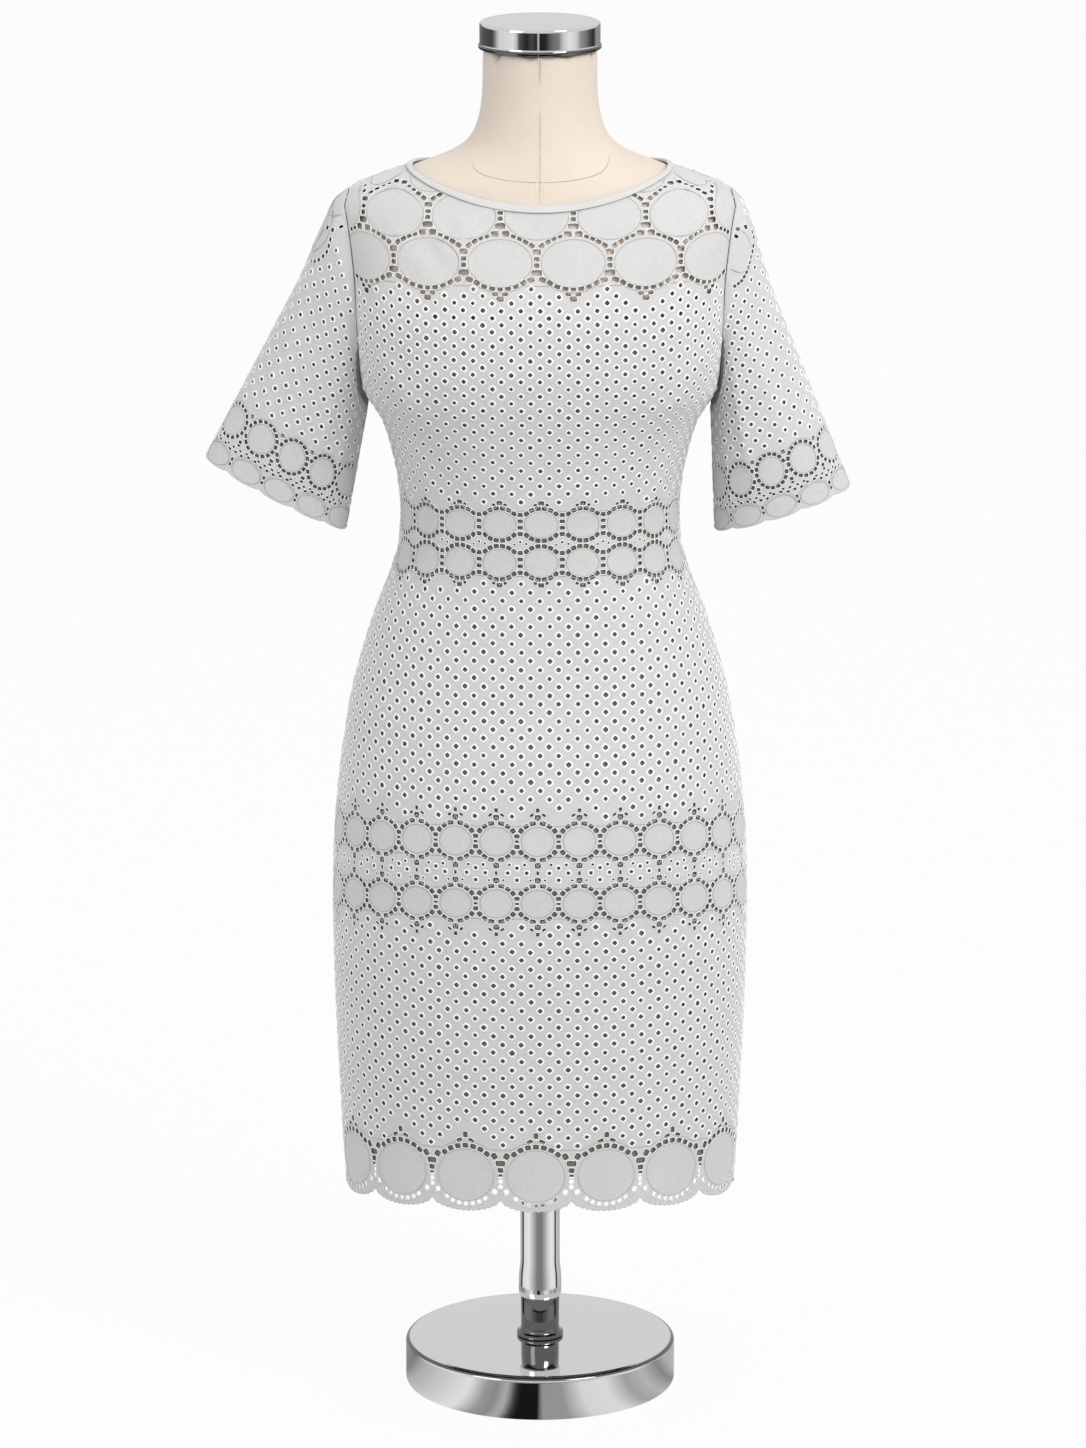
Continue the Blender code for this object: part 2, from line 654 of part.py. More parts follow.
def make_binding():
    """The folded strip that covers the neckline's edge, open at the centre-back seam."""
    shares = np.linspace(-1, 1, BINDING_STATIONS + 1)
    over_edge = LAID_GAP + CLOTH
    laid = CLOTH + BINDING_GAP
    proud = laid + CLOTH
    # above the neckline's edge, out from the cloth's inner face
    section = ((over_edge, proud), (over_edge, 0.0), (LAID_GAP, 0.0), (LAID_GAP, laid))
    stations = []
    for share in shares:
        quarter, middle, along = FRONT, NECK_FRONT, 2 * share
        if abs(share) > 0.5:
            quarter, middle = BACK, NECK_BACK
            along = (2 - 2 * abs(share)) * math.copysign(1, share)
        height = neckline(along, middle)
        way = along * quarter.length(NECK_SIDE)
        if abs(share) == 1:
            way = math.copysign(SEAM_GAP / 2, share)
        edge = on_body(quarter, way, height)
        lower = on_body(quarter, way, below_neckline(quarter, way, middle, BINDING_WIDTH))
        near = on_body(quarter, way, below_neckline(quarter, way, middle, 0.002))
        up = (edge - near) / np.linalg.norm(edge - near)
        station = [lower + outward(lower) * laid, lower + outward(lower) * proud]
        station += [edge + up * above + outward(edge) * out for above, out in section]
        stations.append(station)
    points = np.array(stations)
    count, sides = points.shape[:2]
    return add_object("neck_binding", points.reshape(-1, 3), tube(count, sides), "eyelet_cotton", 50)


def zip_frame():
    """Where the zip's slider lies: a matrix with X across, Y out from the back and Z up its slope."""
    spot = on_body(BACK, 0.0, ZIP_HEIGHT)
    out = Vector(outward(spot))
    across = Vector((1, 0, 0))
    up = across.cross(out)
    turned = Matrix((across, out, up)).transposed().to_4x4()
    return Matrix.Translation(Vector(spot)) @ turned


def extrude_polygons(name, outline, gaps, depth_from, depth_to, material, frame, plane):
    """A plate cut from a flat outline. The plane maps (u, v, depth) to the frame's own axes."""
    flat, triangles = triangulate(np.array(outline), [np.array(g) for g in gaps], [])
    sheets = [
        np.array([frame @ Vector(plane(u, v, depth)) for u, v in flat])
        for depth in (depth_to, depth_from)
    ]
    return add_object(name, *wall(*sheets, triangles), material)


def make_zip_slider(frame):
    """The slider: a plate on the seam with a bridge that the tab hangs from."""
    width, length, thickness = SLIDER
    floor = CLOTH + LAID_GAP
    top = floor + thickness
    nose = 0.3 * length
    plate = [
        (-width / 2, nose), (-width / 4, length / 2), (width / 4, length / 2), (width / 2, nose),
        (width / 2, -length / 2), (-width / 2, -length / 2),
    ]
    body = extrude_polygons(
        "zip_slider", plate, [], floor, top, "zip_metal", frame, lambda u, v, d: (u, d, v)
    )
    leg, bar, reach = 0.0008, 0.0008, 0.0026
    crown = HINGE_OUT + 0.0016
    bridge = [
        (-reach, top - 0.0004), (-reach, crown - 0.0006), (-reach + 0.0006, crown),
        (reach - 0.0006, crown), (reach, crown - 0.0006), (reach, top - 0.0004),
        (reach - leg, top - 0.0004), (reach - leg, crown - bar), (-reach + leg, crown - bar),
        (-reach + leg, top - 0.0004),
    ]
    arch = extrude_polygons(
        "zip_bridge", bridge, [], -BRIDGE_WIDTH / 2, BRIDGE_WIDTH / 2, "zip_metal", frame,
        lambda u, v, d: (d, v, u),
    )
    arch.hide_render = True
    arch.display_type = "WIRE"
    join = body.modifiers.new("bridge", "BOOLEAN")
    join.operation = "UNION"
    join.object = arch
    return body


def make_zip_pull(frame):
    """The tab, hanging flat down the back, with its origin on the hinge's axis."""
    half, eye_half = TAB_WIDTH / 2, TAB_EYE[0] / 2
    bar = TAB_THICKNESS / 2
    low, round_off = -TAB_LENGTH, 0.0020
    outline = [
        (-half + 0.0012, bar), (half - 0.0012, bar), (half - 0.0006, -0.0012), (half - 0.0006, -0.0070),
        (half, -0.0095), (half, low + round_off), (half - round_off, low), (-half + round_off, low),
        (-half, low + round_off), (-half, -0.0095), (-half + 0.0006, -0.0070), (-half + 0.0006, -0.0012),
    ]
    eye = [
        (-eye_half, -bar), (-eye_half, -bar - TAB_EYE[1]), (eye_half, -bar - TAB_EYE[1]), (eye_half, -bar),
    ]
    hinge = frame @ Vector((0, HINGE_OUT, 0))
    made = extrude_polygons(
        "zip_pull", outline, [eye], HINGE_OUT - bar, HINGE_OUT + bar, "zip_metal", frame,
        lambda u, v, d: (u, d, v),
    )
    made.data.transform(Matrix.Rotation(-TAB_LEAN, 4, "X") @ Matrix.Translation(-hinge))
    made.location = hinge
    return made


# ---------------------------------------------------------------- the form and its stand


def make_form():
    """The limbless form that fills the dress: one solid from its rounded underside to the neck."""
    levels, gaps = (np.array(column) for column in zip(*FORM_CLEARANCES))
    rings = []
    for height in FORM_ROWS:
        quarters = []
        for quarter in (FRONT, BACK):
            ways = np.linspace(0, 1, FORM_SIDES // 4 + 1) * quarter.length(height)
            turns = quarter.turn(ways, np.full(len(ways), height))
            quarters.append(ring_point(turns, height, quarter.behind))
        half = np.concatenate([quarters[0], quarters[1][-2::-1]])
        ring = np.concatenate([half, (half * (-1, 1, 1))[-2:0:-1]])
        rings.append(ring - outward(ring) * smooth(levels, gaps, height))
    lowest = rings[0]
    centre = np.array([0, 0.004, 0])
    for turn in np.radians([30, 60, 85]):
        inset = lowest.copy()
        inset[:, :2] = centre[:2] + (lowest[:, :2] - centre[:2]) * (1 - 0.30 * (1 - math.cos(turn)))
        inset[:, 2] -= FORM_BOTTOM_ROUND * math.sin(turn)
        rings.insert(0, inset)
    flat = rings[0].copy()
    flat[:, 2] = FORM_BOTTOM
    rings[0] = flat
    points = np.array(rings)
    return add_object("form_torso", points.reshape(-1, 3), tube(*points.shape[:2]), "form_cover", 50)


def turned(name, profile, material):
    """A piece turned round the vertical axis from a profile of radius and height."""
    turns = 2 * math.pi * np.arange(ROUND_SIDES) / ROUND_SIDES
    points = [(r * math.cos(t), r * math.sin(t), z) for r, z in profile for t in turns]
    return add_object(name, points, tube(len(profile), ROUND_SIDES), material, 30)


# ---------------------------------------------------------------- assembly


def build():
    for old in list(bpy.data.objects):
        bpy.data.objects.remove(old)
    make_front()
    make_back("dress_back_left", -1)
    make_back("dress_back_right", 1)
    for name, sign, outer, inner in SLEEVES:
        make_sleeve(name, sign, outer, inner)
    make_binding()
    frame = zip_frame()
    make_zip_slider(frame)
    make_zip_pull(frame)
    make_form()
    turned("form_neck_cap", CAP_PROFILE, "polished_chrome")
    turned("form_plate", PLATE_PROFILE, "polished_chrome")
    turned("stand_pole", POLE_PROFILE, "polished_chrome")
    turned("stand_collar", COLLAR_PROFILE, "polished_chrome")
    turned("stand_base", BASE_PROFILE, "polished_chrome")


build()
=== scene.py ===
"""An eyelet sheath dress on a limbless dress form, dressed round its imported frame.

Metres, +Z up, the front facing -Y. Each cloth piece is drawn flat, in two measures: the way round from
its centre line and the way up the cloth. The cutwork, the eyelets and the embroidery are laid out on
that flat pattern, and then the pattern is laid on the body.
"""

import math

import bmesh
import bpy
import numpy as np
from bpy.props import FloatProperty, FloatVectorProperty, IntProperty, PointerProperty
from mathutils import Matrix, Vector
from mathutils.geometry import delaunay_2d_cdt


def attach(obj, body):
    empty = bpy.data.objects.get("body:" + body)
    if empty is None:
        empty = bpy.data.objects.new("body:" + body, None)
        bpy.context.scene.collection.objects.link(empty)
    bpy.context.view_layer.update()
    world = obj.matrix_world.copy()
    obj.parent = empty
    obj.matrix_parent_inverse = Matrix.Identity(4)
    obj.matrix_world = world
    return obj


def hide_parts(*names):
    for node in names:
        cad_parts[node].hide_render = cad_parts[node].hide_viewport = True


bl_info = {
    "name": "Eyelet sheath dress",
    "version": (1, 0, 0),
    "blender": (4, 5, 0),
    "location": "View3D > Sidebar > Dress",
    "description": "Builds an eyelet sheath dress, its form and its stand round the packed frame",
    "category": "Object",
}

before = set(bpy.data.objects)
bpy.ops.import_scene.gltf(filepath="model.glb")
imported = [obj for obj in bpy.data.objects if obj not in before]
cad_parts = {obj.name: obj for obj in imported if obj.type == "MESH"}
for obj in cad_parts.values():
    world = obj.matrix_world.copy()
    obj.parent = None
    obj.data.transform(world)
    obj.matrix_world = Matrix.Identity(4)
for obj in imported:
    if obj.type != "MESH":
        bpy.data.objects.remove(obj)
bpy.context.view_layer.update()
DRESSED = "dress_on_form"  # the body that every new piece rides on

# ---------------------------------------------------------------- the body's shape

# height, half width, depth in front of the side seams, depth behind them, squareness of the section
BODY_LEVELS = (
    (0.150, 0.1630, 0.1110, 0.1200, 2.00),
    (0.175, 0.1636, 0.1120, 0.1205, 2.00),
    (0.216, 0.1660, 0.1135, 0.1220, 2.00),
    (0.269, 0.1687, 0.1160, 0.1240, 2.05),
    (0.322, 0.1709, 0.1190, 0.1260, 2.10),
    (0.375, 0.1727, 0.1215, 0.1275, 2.10),
    (0.427, 0.1733, 0.1235, 0.1280, 2.10),
    (0.480, 0.1719, 0.1240, 0.1280, 2.10),
    (0.532, 0.1678, 0.1195, 0.1265, 2.10),
    (0.571, 0.1625, 0.1135, 0.1225, 2.15),
    (0.600, 0.1578, 0.1080, 0.1180, 2.20),
    (0.636, 0.1487, 0.1030, 0.1110, 2.20),
    (0.674, 0.1368, 0.0985, 0.1020, 2.20),
    (0.713, 0.1220, 0.0955, 0.0935, 2.15),
    (0.738, 0.1160, 0.0945, 0.0900, 2.10),
    (0.764, 0.1150, 0.0945, 0.0880, 2.10),
    (0.789, 0.1172, 0.0965, 0.0870, 2.15),
    (0.815, 0.1224, 0.1005, 0.0875, 2.20),
    (0.840, 0.1300, 0.1060, 0.0890, 2.35),
    (0.857, 0.1400, 0.1100, 0.0905, 2.50),
    (0.870, 0.1470, 0.1130, 0.0915, 2.65),
    (0.900, 0.1525, 0.1170, 0.0935, 2.80),
    (0.930, 0.1555, 0.1160, 0.0945, 2.90),
    (0.964, 0.1590, 0.1080, 0.0935, 2.80),
    (1.000, 0.1632, 0.0925, 0.0880, 2.60),
    (1.018, 0.1640, 0.0820, 0.0820, 2.40),
    (1.0295, 0.1565, 0.0735, 0.0765, 2.20),
    (1.042, 0.1285, 0.0670, 0.0705, 2.05),
    (1.050, 0.1055, 0.0625, 0.0660, 2.00),
    (1.061, 0.0740, 0.0575, 0.0600, 2.00),
    (1.072, 0.0580, 0.0535, 0.0550, 2.00),
    (1.092, 0.0497, 0.0497, 0.0500, 2.00),
    (1.116, 0.0468, 0.0468, 0.0468, 2.00),
    (1.147, 0.0475, 0.0475, 0.0475, 2.00),
)
HEIGHTS, HALF_WIDTHS, FRONT_DEPTHS, BACK_DEPTHS, SQUARENESS = (
    np.array(column) for column in zip(*BODY_LEVELS)
)
FRONT_LIFT = 0.13  # the front's rows rise by this share of the body's depth there
LIFT_STARTS, LIFT_FULL = 0.950, 0.700
HEM_DROOP, HEM_DROOP_STARTS = 0.28, 0.38  # the front hem hangs lower by this share of that rise
CHEST_STARTS = 0.930  # above this height the way up the cloth is longer than the height

HEM = 0.175
ARMPIT, SHOULDER_TIP = 0.857, 1.0295
ARMHOLE_HALF_WIDTH = 0.056
NECK_SIDE, NECK_FRONT, NECK_BACK = 1.050, 1.0275, 1.037
NECK_PINNED = 1.047  # where the form's neck seam crosses the centre front
NECK_SEAM_SIDE = 1.075

# name, side, outer corner of the cuff (x, z), inner corner of the cuff (x, z)
SLEEVES = (
    ("sleeve_left", -1, (0.277, 0.805), (0.162, 0.744)),
    ("sleeve_right", 1, (0.257, 0.781), (0.146, 0.744)),
)
CUFF_GIRTH = 0.312
CUFF_SCALLOPS = 10
CUFF_SCALLOP = 0.0030
CUFF_PITCH = CUFF_GIRTH / CUFF_SCALLOPS
HEAD_PUFF = 0.0055  # how far the sleeve's head stands off beyond the shoulder
# Shares of the sleeve's length: over which that puff rises, where it starts to fade, over which it
# fades, and over which the sleeve lies along the shoulder.
PUFF_RISE, PUFF_HOLDS, PUFF_FADE, HEAD_LAP = 0.045, 0.07, 0.30, 0.14

CLOTH = 0.0009
SEAM_GAP = 0.0003
SEAM_SINK, SEAM_ROLL = 0.0003, 0.0024  # cloth turns in by this much, over this much, at a seam

# Soft folds in the cloth of the front: x, z, lean from upright in radians, half width, half length, height
CHEST_FOLDS = (
    (-0.078, 1.000, -0.75, 0.0050, 0.030, 0.0022),
    (-0.060, 1.012, -0.75, 0.0045, 0.022, 0.0018),
    (-0.098, 0.985, -0.70, 0.0055, 0.028, 0.0019),
    (-0.030, 1.016, -0.80, 0.0050, 0.016, 0.0013),
    (0.104, 0.992, 0.80, 0.0060, 0.026, 0.0014),
    (-0.112, 0.880, -0.55, 0.0080, 0.050, 0.0021),
    (0.112, 0.875, 0.55, 0.0080, 0.050, 0.0019),
    (-0.092, 0.800, -0.25, 0.0060, 0.040, 0.0014),
    (0.094, 0.795, 0.30, 0.0060, 0.040, 0.0014),
)
# Lengthwise folds in the sleeves: share of the way round, lean, half width as a share, height
SLEEVE_FOLDS = (
    (0.10, 0.06, 0.016, 0.0016),
    (0.19, -0.05, 0.020, 0.0013),
    (0.31, 0.04, 0.018, 0.0018),
    (0.40, -0.03, 0.014, 0.0012),
    (-0.15, 0.05, 0.020, 0.0015),
    (-0.33, -0.05, 0.018, 0.0016),
)


def smooth(levels, values, at):
    """Values between the levels on a curve with no overshoot (a monotone cubic)."""
    at = np.asarray(at, float)
    step = np.diff(levels)
    slope = np.diff(values) / step
    tangent = np.zeros(len(levels))
    tangent[0], tangent[-1] = slope[0], slope[-1]
    for i in range(1, len(levels) - 1):
        if slope[i - 1] * slope[i] > 0:
            before, after = 2 * step[i] + step[i - 1], step[i] + 2 * step[i - 1]
            tangent[i] = (before + after) / (before / slope[i - 1] + after / slope[i])
    i = np.clip(np.searchsorted(levels, at) - 1, 0, len(levels) - 2)
    t = np.clip((at - levels[i]) / step[i], 0, 1)
    return (
        values[i] * (1 + 2 * t) * (1 - t) ** 2
        + tangent[i] * step[i] * t * (1 - t) ** 2
        + values[i + 1] * t * t * (3 - 2 * t)
        - tangent[i + 1] * step[i] * t * t * (1 - t)
    )


def ease(x):
    """From 0 to 1 with soft ends."""
    x = np.clip(x, 0, 1)
    return x * x * (3 - 2 * x)


def ring_point(turn, height, behind):
    """Where the section at this height is met at this turn from the centre line, towards +X."""
    depth = smooth(HEIGHTS, BACK_DEPTHS if behind else FRONT_DEPTHS, height)
    square = smooth(HEIGHTS, SQUARENESS, height)
    across, ahead = np.sin(turn), np.cos(turn)
    reach = (np.abs(across) ** square + np.abs(ahead) ** square) ** (-1 / square)
    x = smooth(HEIGHTS, HALF_WIDTHS, height) * across * reach
    y = depth * ahead * reach * (1 if behind else -1)
    return np.stack([x, y, np.broadcast_to(height, x.shape)], axis=-1)


class Quarter:
    """The way round one quarter of the body, from its centre line to its side, at every height."""

    def __init__(self, behind):
        self.behind = behind
        self.levels = np.linspace(HEIGHTS[0], HEIGHTS[-1], 500)
        self.turns = np.linspace(0, math.pi / 2, 121)
        rings = ring_point(self.turns[None, :], self.levels[:, None], behind)
        steps = np.linalg.norm(np.diff(rings, axis=1), axis=2)
        self.way = np.concatenate([np.zeros((len(self.levels), 1)), np.cumsum(steps, axis=1)], axis=1)
        self.lengths = self.way[:, -1]
        self.shares = np.linspace(0, 1, 81)
        self.table = np.array([np.interp(self.shares, w / w[-1], self.turns) for w in self.way])

    def length(self, height):
        return np.interp(height, self.levels, self.lengths)

    def turn(self, way, height):
        """The turn at which a tape laid round from the centre line reads this way."""
        share = np.clip(way / self.length(height), 0, 1) * (len(self.shares) - 1)
        level = np.interp(height, self.levels, np.arange(len(self.levels)))
        row = np.minimum(level.astype(int), len(self.levels) - 2)
        column = np.minimum(share.astype(int), len(self.shares) - 2)
        up, along = level - row, share - column
        low = self.table[row, column] * (1 - along) + self.table[row, column + 1] * along
        high = self.table[row + 1, column] * (1 - along) + self.table[row + 1, column + 1] * along
        return low * (1 - up) + high * up


FRONT, BACK = Quarter(behind=False), Quarter(behind=True)


def fullness(points):
    """Under 1 inside the body, over 1 outside it."""
    x, y, height = points[..., 0], points[..., 1], points[..., 2]
    depth = np.where(
        y > 0, smooth(HEIGHTS, BACK_DEPTHS, height), smooth(HEIGHTS, FRONT_DEPTHS, height)
    )
    square = smooth(HEIGHTS, SQUARENESS, height)
    width = smooth(HEIGHTS, HALF_WIDTHS, height)
    return np.abs(x / width) ** square + np.abs(y / depth) ** square


def outward(points):
    """The body's unit normals at these points."""
    nudge = 0.0002
    normals = np.empty_like(points)
    for axis in range(3):
        step = np.zeros(3)
        step[axis] = nudge
        normals[..., axis] = fullness(points + step) - fullness(points - step)
    return normals / np.linalg.norm(normals, axis=-1, keepdims=True)


def lift(height):
    """How far the front's rows rise at the centre line."""
    rise = ease((LIFT_STARTS - height) / (LIFT_STARTS - LIFT_FULL))
    rise = rise * (1 - HEM_DROOP * ease((HEM_DROOP_STARTS - height) / HEM_DROOP_STARTS * 2))
    return FRONT_LIFT * rise * smooth(HEIGHTS, FRONT_DEPTHS, height)


def on_body(quarter, way, height):
    """Points on the body: way is from the centre line, negative towards -X."""
    way, height = np.asarray(way, float), np.asarray(height, float)
    if not quarter.behind:
        height = height + lift(height) * np.cos(quarter.turn(np.abs(way), height))
    turn = quarter.turn(np.abs(way), height) * np.where(way < 0, -1, 1)
    return ring_point(turn, height, quarter.behind)


def tape(x, y):
    """The way along a line through these points, at each of them."""
    return np.concatenate([[0], np.cumsum(np.hypot(np.diff(x), np.diff(y)))])


def armhole(share):
    """Way in from the side and height, at this share of the armhole's seam from the shoulder tip."""
    turns = np.linspace(0, 2 * math.pi, 721)
    half_height = (SHOULDER_TIP - ARMPIT) / 2
    way = tape(ARMHOLE_HALF_WIDTH * np.sin(turns), half_height * np.cos(turns))
    turn = np.interp(share, way / way[-1], turns)
    return ARMHOLE_HALF_WIDTH * np.sin(turn), ARMPIT + half_height * (1 + np.cos(turn))


def neckline(share, middle):
    """Height of the neckline at this share of the way from the middle to the shoulder."""
    return middle + (NECK_SIDE - middle) * ease(np.abs(share) ** 1.15)


def scallop(way, pitch, depth):
    """How far a scalloped edge stands above its tips. A tip is at way 0."""
    across = 2 * np.abs(way / pitch - np.round(way / pitch))
    return depth * (1 - np.sqrt(np.clip(1 - across**2, 0, 1)))


# ---------------------------------------------------------------- cloth, from flat to laid on the body


class PanelCloth:
    """The front or the back. Flat, it is measured round from the centre line and up the cloth."""

    def __init__(self, quarter, middle):
        self.quarter, self.middle = quarter, middle
        self.levels = np.linspace(HEIGHTS[0], NECK_SIDE + 0.01, 600)
        depths = smooth(HEIGHTS, BACK_DEPTHS if quarter.behind else FRONT_DEPTHS, self.levels)
        climb = np.diff(self.levels)
        slope = np.where(self.levels[1:] > CHEST_STARTS, np.diff(depths), 0)
        self.rows = HEIGHTS[0] + np.concatenate([[0], np.cumsum(np.hypot(climb, slope))])

    def row(self, height):
        """The way up the cloth at a height."""
        return np.interp(height, self.levels, self.rows)

    def place(self, flat, out=0.0):
        """Flat points laid on the body, this far out from it."""
        flat = np.asarray(flat, float)
        points = on_body(self.quarter, flat[..., 0], np.interp(flat[..., 1], self.rows, self.levels))
        return points + outward(points) * np.asarray(out + self.folds(points))[..., None]

    def folds(self, points):
        """How far the cloth stands off the body in soft folds."""
        x, z = points[..., 0], points[..., 2]
        total = np.zeros(x.shape)
        folds = () if self.quarter.behind else CHEST_FOLDS
        for fold_x, fold_z, lean, width, length, height in folds:
            along = (z - fold_z) * math.cos(lean) + (x - fold_x) * math.sin(lean)
            across = (x - fold_x) * math.cos(lean) - (z - fold_z) * math.sin(lean)
            total += height * np.exp(-((across / width) ** 2) - (along / length) ** 2)
        return total


class SleeveCloth:
    """A sleeve. Flat, it is measured round from its outer fold, at the cuff's girth, and up from the cuff."""

    def __init__(self, sign, outer, inner):
        self.sign = sign
        self.shares = np.linspace(-0.55, 0.55, 441)
        self.top, self.body = self.armhole_ring(self.shares % 1)
        self.end = self.cuff_ring(self.shares % 1, np.array(outer), np.array(inner))
        self.lengths = np.linalg.norm(self.end - self.top, axis=1)

    def armhole_ring(self, shares):
        """The seam's points, just outside the panels' edges, and the body's normals there."""
        in_from_side, height = armhole(shares)
        front = on_body(FRONT, FRONT.length(height) - np.abs(in_from_side), height)
        back = on_body(BACK, BACK.length(height) - np.abs(in_from_side), height)
        points = np.where((in_from_side >= 0)[:, None], front, back)
        normals = outward(points)
        points = points + normals * (CLOTH + 2 * SEAM_GAP)
        return points * (self.sign, 1, 1), normals * (self.sign, 1, 1)

    def cuff_ring(self, shares, outer, inner):
        """The cuff's points, an ellipse across its two corners that has the cuff's girth."""
        centre, arm = (outer + inner) / 2, (outer - inner) / 2
        half_width = np.linalg.norm(arm)
        turns = np.linspace(0, 2 * math.pi, 721)
        thin, thick = 0.005, half_width
        for _ in range(40):
            depth = (thin + thick) / 2
            steps = np.hypot(np.diff(half_width * np.cos(turns)), np.diff(depth * np.sin(turns)))
            thin, thick = (depth, thick) if steps.sum() < CUFF_GIRTH else (thin, depth)
        way = np.concatenate([[0], np.cumsum(steps)])
        turn = np.interp(shares, way / way[-1], turns)
        x = centre[0] + arm[0] * np.cos(turn)
        z = centre[1] + arm[1] * np.cos(turn)
        return np.stack([self.sign * x, -depth * np.sin(turn), z], axis=1)

    def at(self, table, share):
        """A seam's point or normal at this share of the way round."""
        return np.stack([np.interp(share, self.shares, table[:, i]) for i in range(3)], axis=-1)

    def point(self, share, step):
        """The sleeve without its folds, this share of the way from the armhole to the cuff."""
        start, end = self.at(self.top, share), self.at(self.end, share)
        point = start + (end - start) * step[..., None]
        near_head = ease(step / PUFF_RISE) * (1 - ease((step - PUFF_HOLDS) / PUFF_FADE))
        bulge = HEAD_PUFF * near_head * ((1 + np.cos(2 * math.pi * share)) / 2) ** 2
        point[..., 0] += self.sign * bulge
        return point

    def length(self, way):
        """The sleeve's length from cuff to armhole, this way round."""
        return np.interp(way / CUFF_GIRTH, self.shares, self.lengths)

    def place(self, flat, out=0.0):
        """Flat points laid on the arm's shape, this far out from it."""
        flat = np.asarray(flat, float)
        share = flat[..., 0] / CUFF_GIRTH
        step = 1 - flat[..., 1] / self.length(flat[..., 0])
        nudge = 0.004
        point = self.point(share, step)
        around = self.point(share + nudge, step) - self.point(share - nudge, step)
        along = self.point(share, step + nudge) - self.point(share, step - nudge)
        normal = np.cross(around, along) * self.sign
        normal /= np.linalg.norm(normal, axis=-1, keepdims=True)
        lapped = 1 - ease(step / HEAD_LAP)[..., None]
        normal = self.at(self.body, share) * lapped + normal * (1 - lapped)
        normal /= np.linalg.norm(normal, axis=-1, keepdims=True)
        return point + normal * np.asarray(out + self.folds(share, step))[..., None]

    def folds(self, share, step):
        """How far the sleeve stands off in soft lengthwise folds, most near the middle."""
        total = np.zeros(np.shape(share))
        for at, lean, width, height in SLEEVE_FOLDS:
            across = share - at - lean * (step - 0.5)
            total += height * np.exp(-((across / width) ** 2))
        return total * np.sin(math.pi * np.clip(step, 0, 1)) ** 1.5


# ---------------------------------------------------------------- flat pattern work


def inside(polygon, points):
    """Whether each point lies inside the closed polygon."""
    x, y = points[:, 0], points[:, 1]
    found = np.zeros(len(points), bool)
    for (x0, y0), (x1, y1) in zip(polygon, np.roll(polygon, -1, axis=0)):
        crosses = (y0 > y) != (y1 > y)
        if y0 != y1:
            found ^= crosses & (x < (x1 - x0) * (y - y0) / (y1 - y0) + x0)
    return found


def clearance(path, points, closed=True):
    """Distance from each point to the path's nearest side."""
    ends = np.roll(path, -1, axis=0)
    sides = list(zip(path, ends)) if closed else list(zip(path, ends))[:-1]
    nearest = np.full(len(points), np.inf)
    for start, end in sides:
        side = end - start
        t = np.clip((points - start) @ side / max(side @ side, 1e-18), 0, 1)
        nearest = np.minimum(nearest, np.linalg.norm(points - start - t[:, None] * side, axis=1))
    return nearest


def nearest_centre(points, centres):
    """Distance from each point to the nearest of the centres."""
    parts = [points[i : i + 500] for i in range(0, len(points), 500)]
    found = [np.linalg.norm(part[:, None] - centres[None], axis=2).min(axis=1) for part in parts]
    return np.concatenate(found) if found else np.zeros(0)


def anticlockwise(loop):
    """The loop, turned round if it runs clockwise."""
    x, y = np.array(loop).T
    return loop if x @ np.roll(y, -1) > y @ np.roll(x, -1) else loop[::-1]


def triangulate(outline, gaps, fill):
    """Points and triangles of the flat pattern inside the outline, less its gaps."""
    points, loops = [], []
    for loop in [outline, *gaps]:
        loops.append(list(range(len(points), len(points) + len(loop))))
        points += [Vector(p) for p in anticlockwise(loop)]
    points += [Vector(p) for p in fill]
    flat, _, triangles, _, _, owners = delaunay_2d_cdt(points, [], loops, 0, 1e-7, True)
    cloth_only = [0]
    kept = [face for face, owner in zip(triangles, owners) if owner == cloth_only]
    return np.array([tuple(p) for p in flat]), np.array(kept)


def shaped(gaps, cloth, sides, squareness):
    """Each gap as a polygon of the right size on the cloth: way, up, width, height, turn."""
    gaps = np.asarray(gaps, float).reshape(-1, 5)
    turns = 2 * math.pi * np.arange(sides) / sides
    rounded = np.abs(np.cos(turns)) ** squareness + np.abs(np.sin(turns)) ** squareness
    corner = np.stack([np.cos(turns), np.sin(turns)], axis=1) * rounded[:, None] ** (-1 / squareness)
    local = corner[None] * gaps[:, None, 2:4] / 2
    cos, sin = np.cos(gaps[:, 4])[:, None], np.sin(gaps[:, 4])[:, None]
    offset = np.stack(
        [local[..., 0] * cos - local[..., 1] * sin, local[..., 0] * sin + local[..., 1] * cos], axis=-1
    )
    return gaps[:, None, :2] + offset / stretch(cloth, gaps[:, :2])[:, None]


def stretch(cloth, flat):
    """How much longer the laid cloth is than the flat one here, round it and up it."""
    nudge = 0.001
    lengths = []
    for step in ((nudge, 0), (0, nudge)):
        ends = cloth.place(flat + step) - cloth.place(flat - step)
        lengths.append(np.linalg.norm(ends, axis=-1) / (2 * nudge))
    return np.clip(np.stack(lengths, axis=-1), 0.6, 4.0)


def ring(disc, clear, low, high, count, size):
    """Gaps spaced evenly outside a disc, between two angles in degrees."""
    turns = np.radians(np.linspace(low, high, 181))
    a, b = disc[0] / 2 + clear, disc[1] / 2 + clear
    way = tape(a * np.cos(turns), b * np.sin(turns))
    at = np.interp(np.linspace(0, way[-1], count), way, turns)
    tangent = np.arctan2(b * np.cos(at), -a * np.sin(at))
    return [(a * math.cos(t), b * math.sin(t), *size, turn) for t, turn in zip(at, tangent)]


def mirrored(gaps, sign_x=-1, sign_y=1):
    """The gaps, the other way round sideways, or up and down."""
    return [(x * sign_x, y * sign_y, w, h, t * sign_x * sign_y) for x, y, w, h, t in gaps]


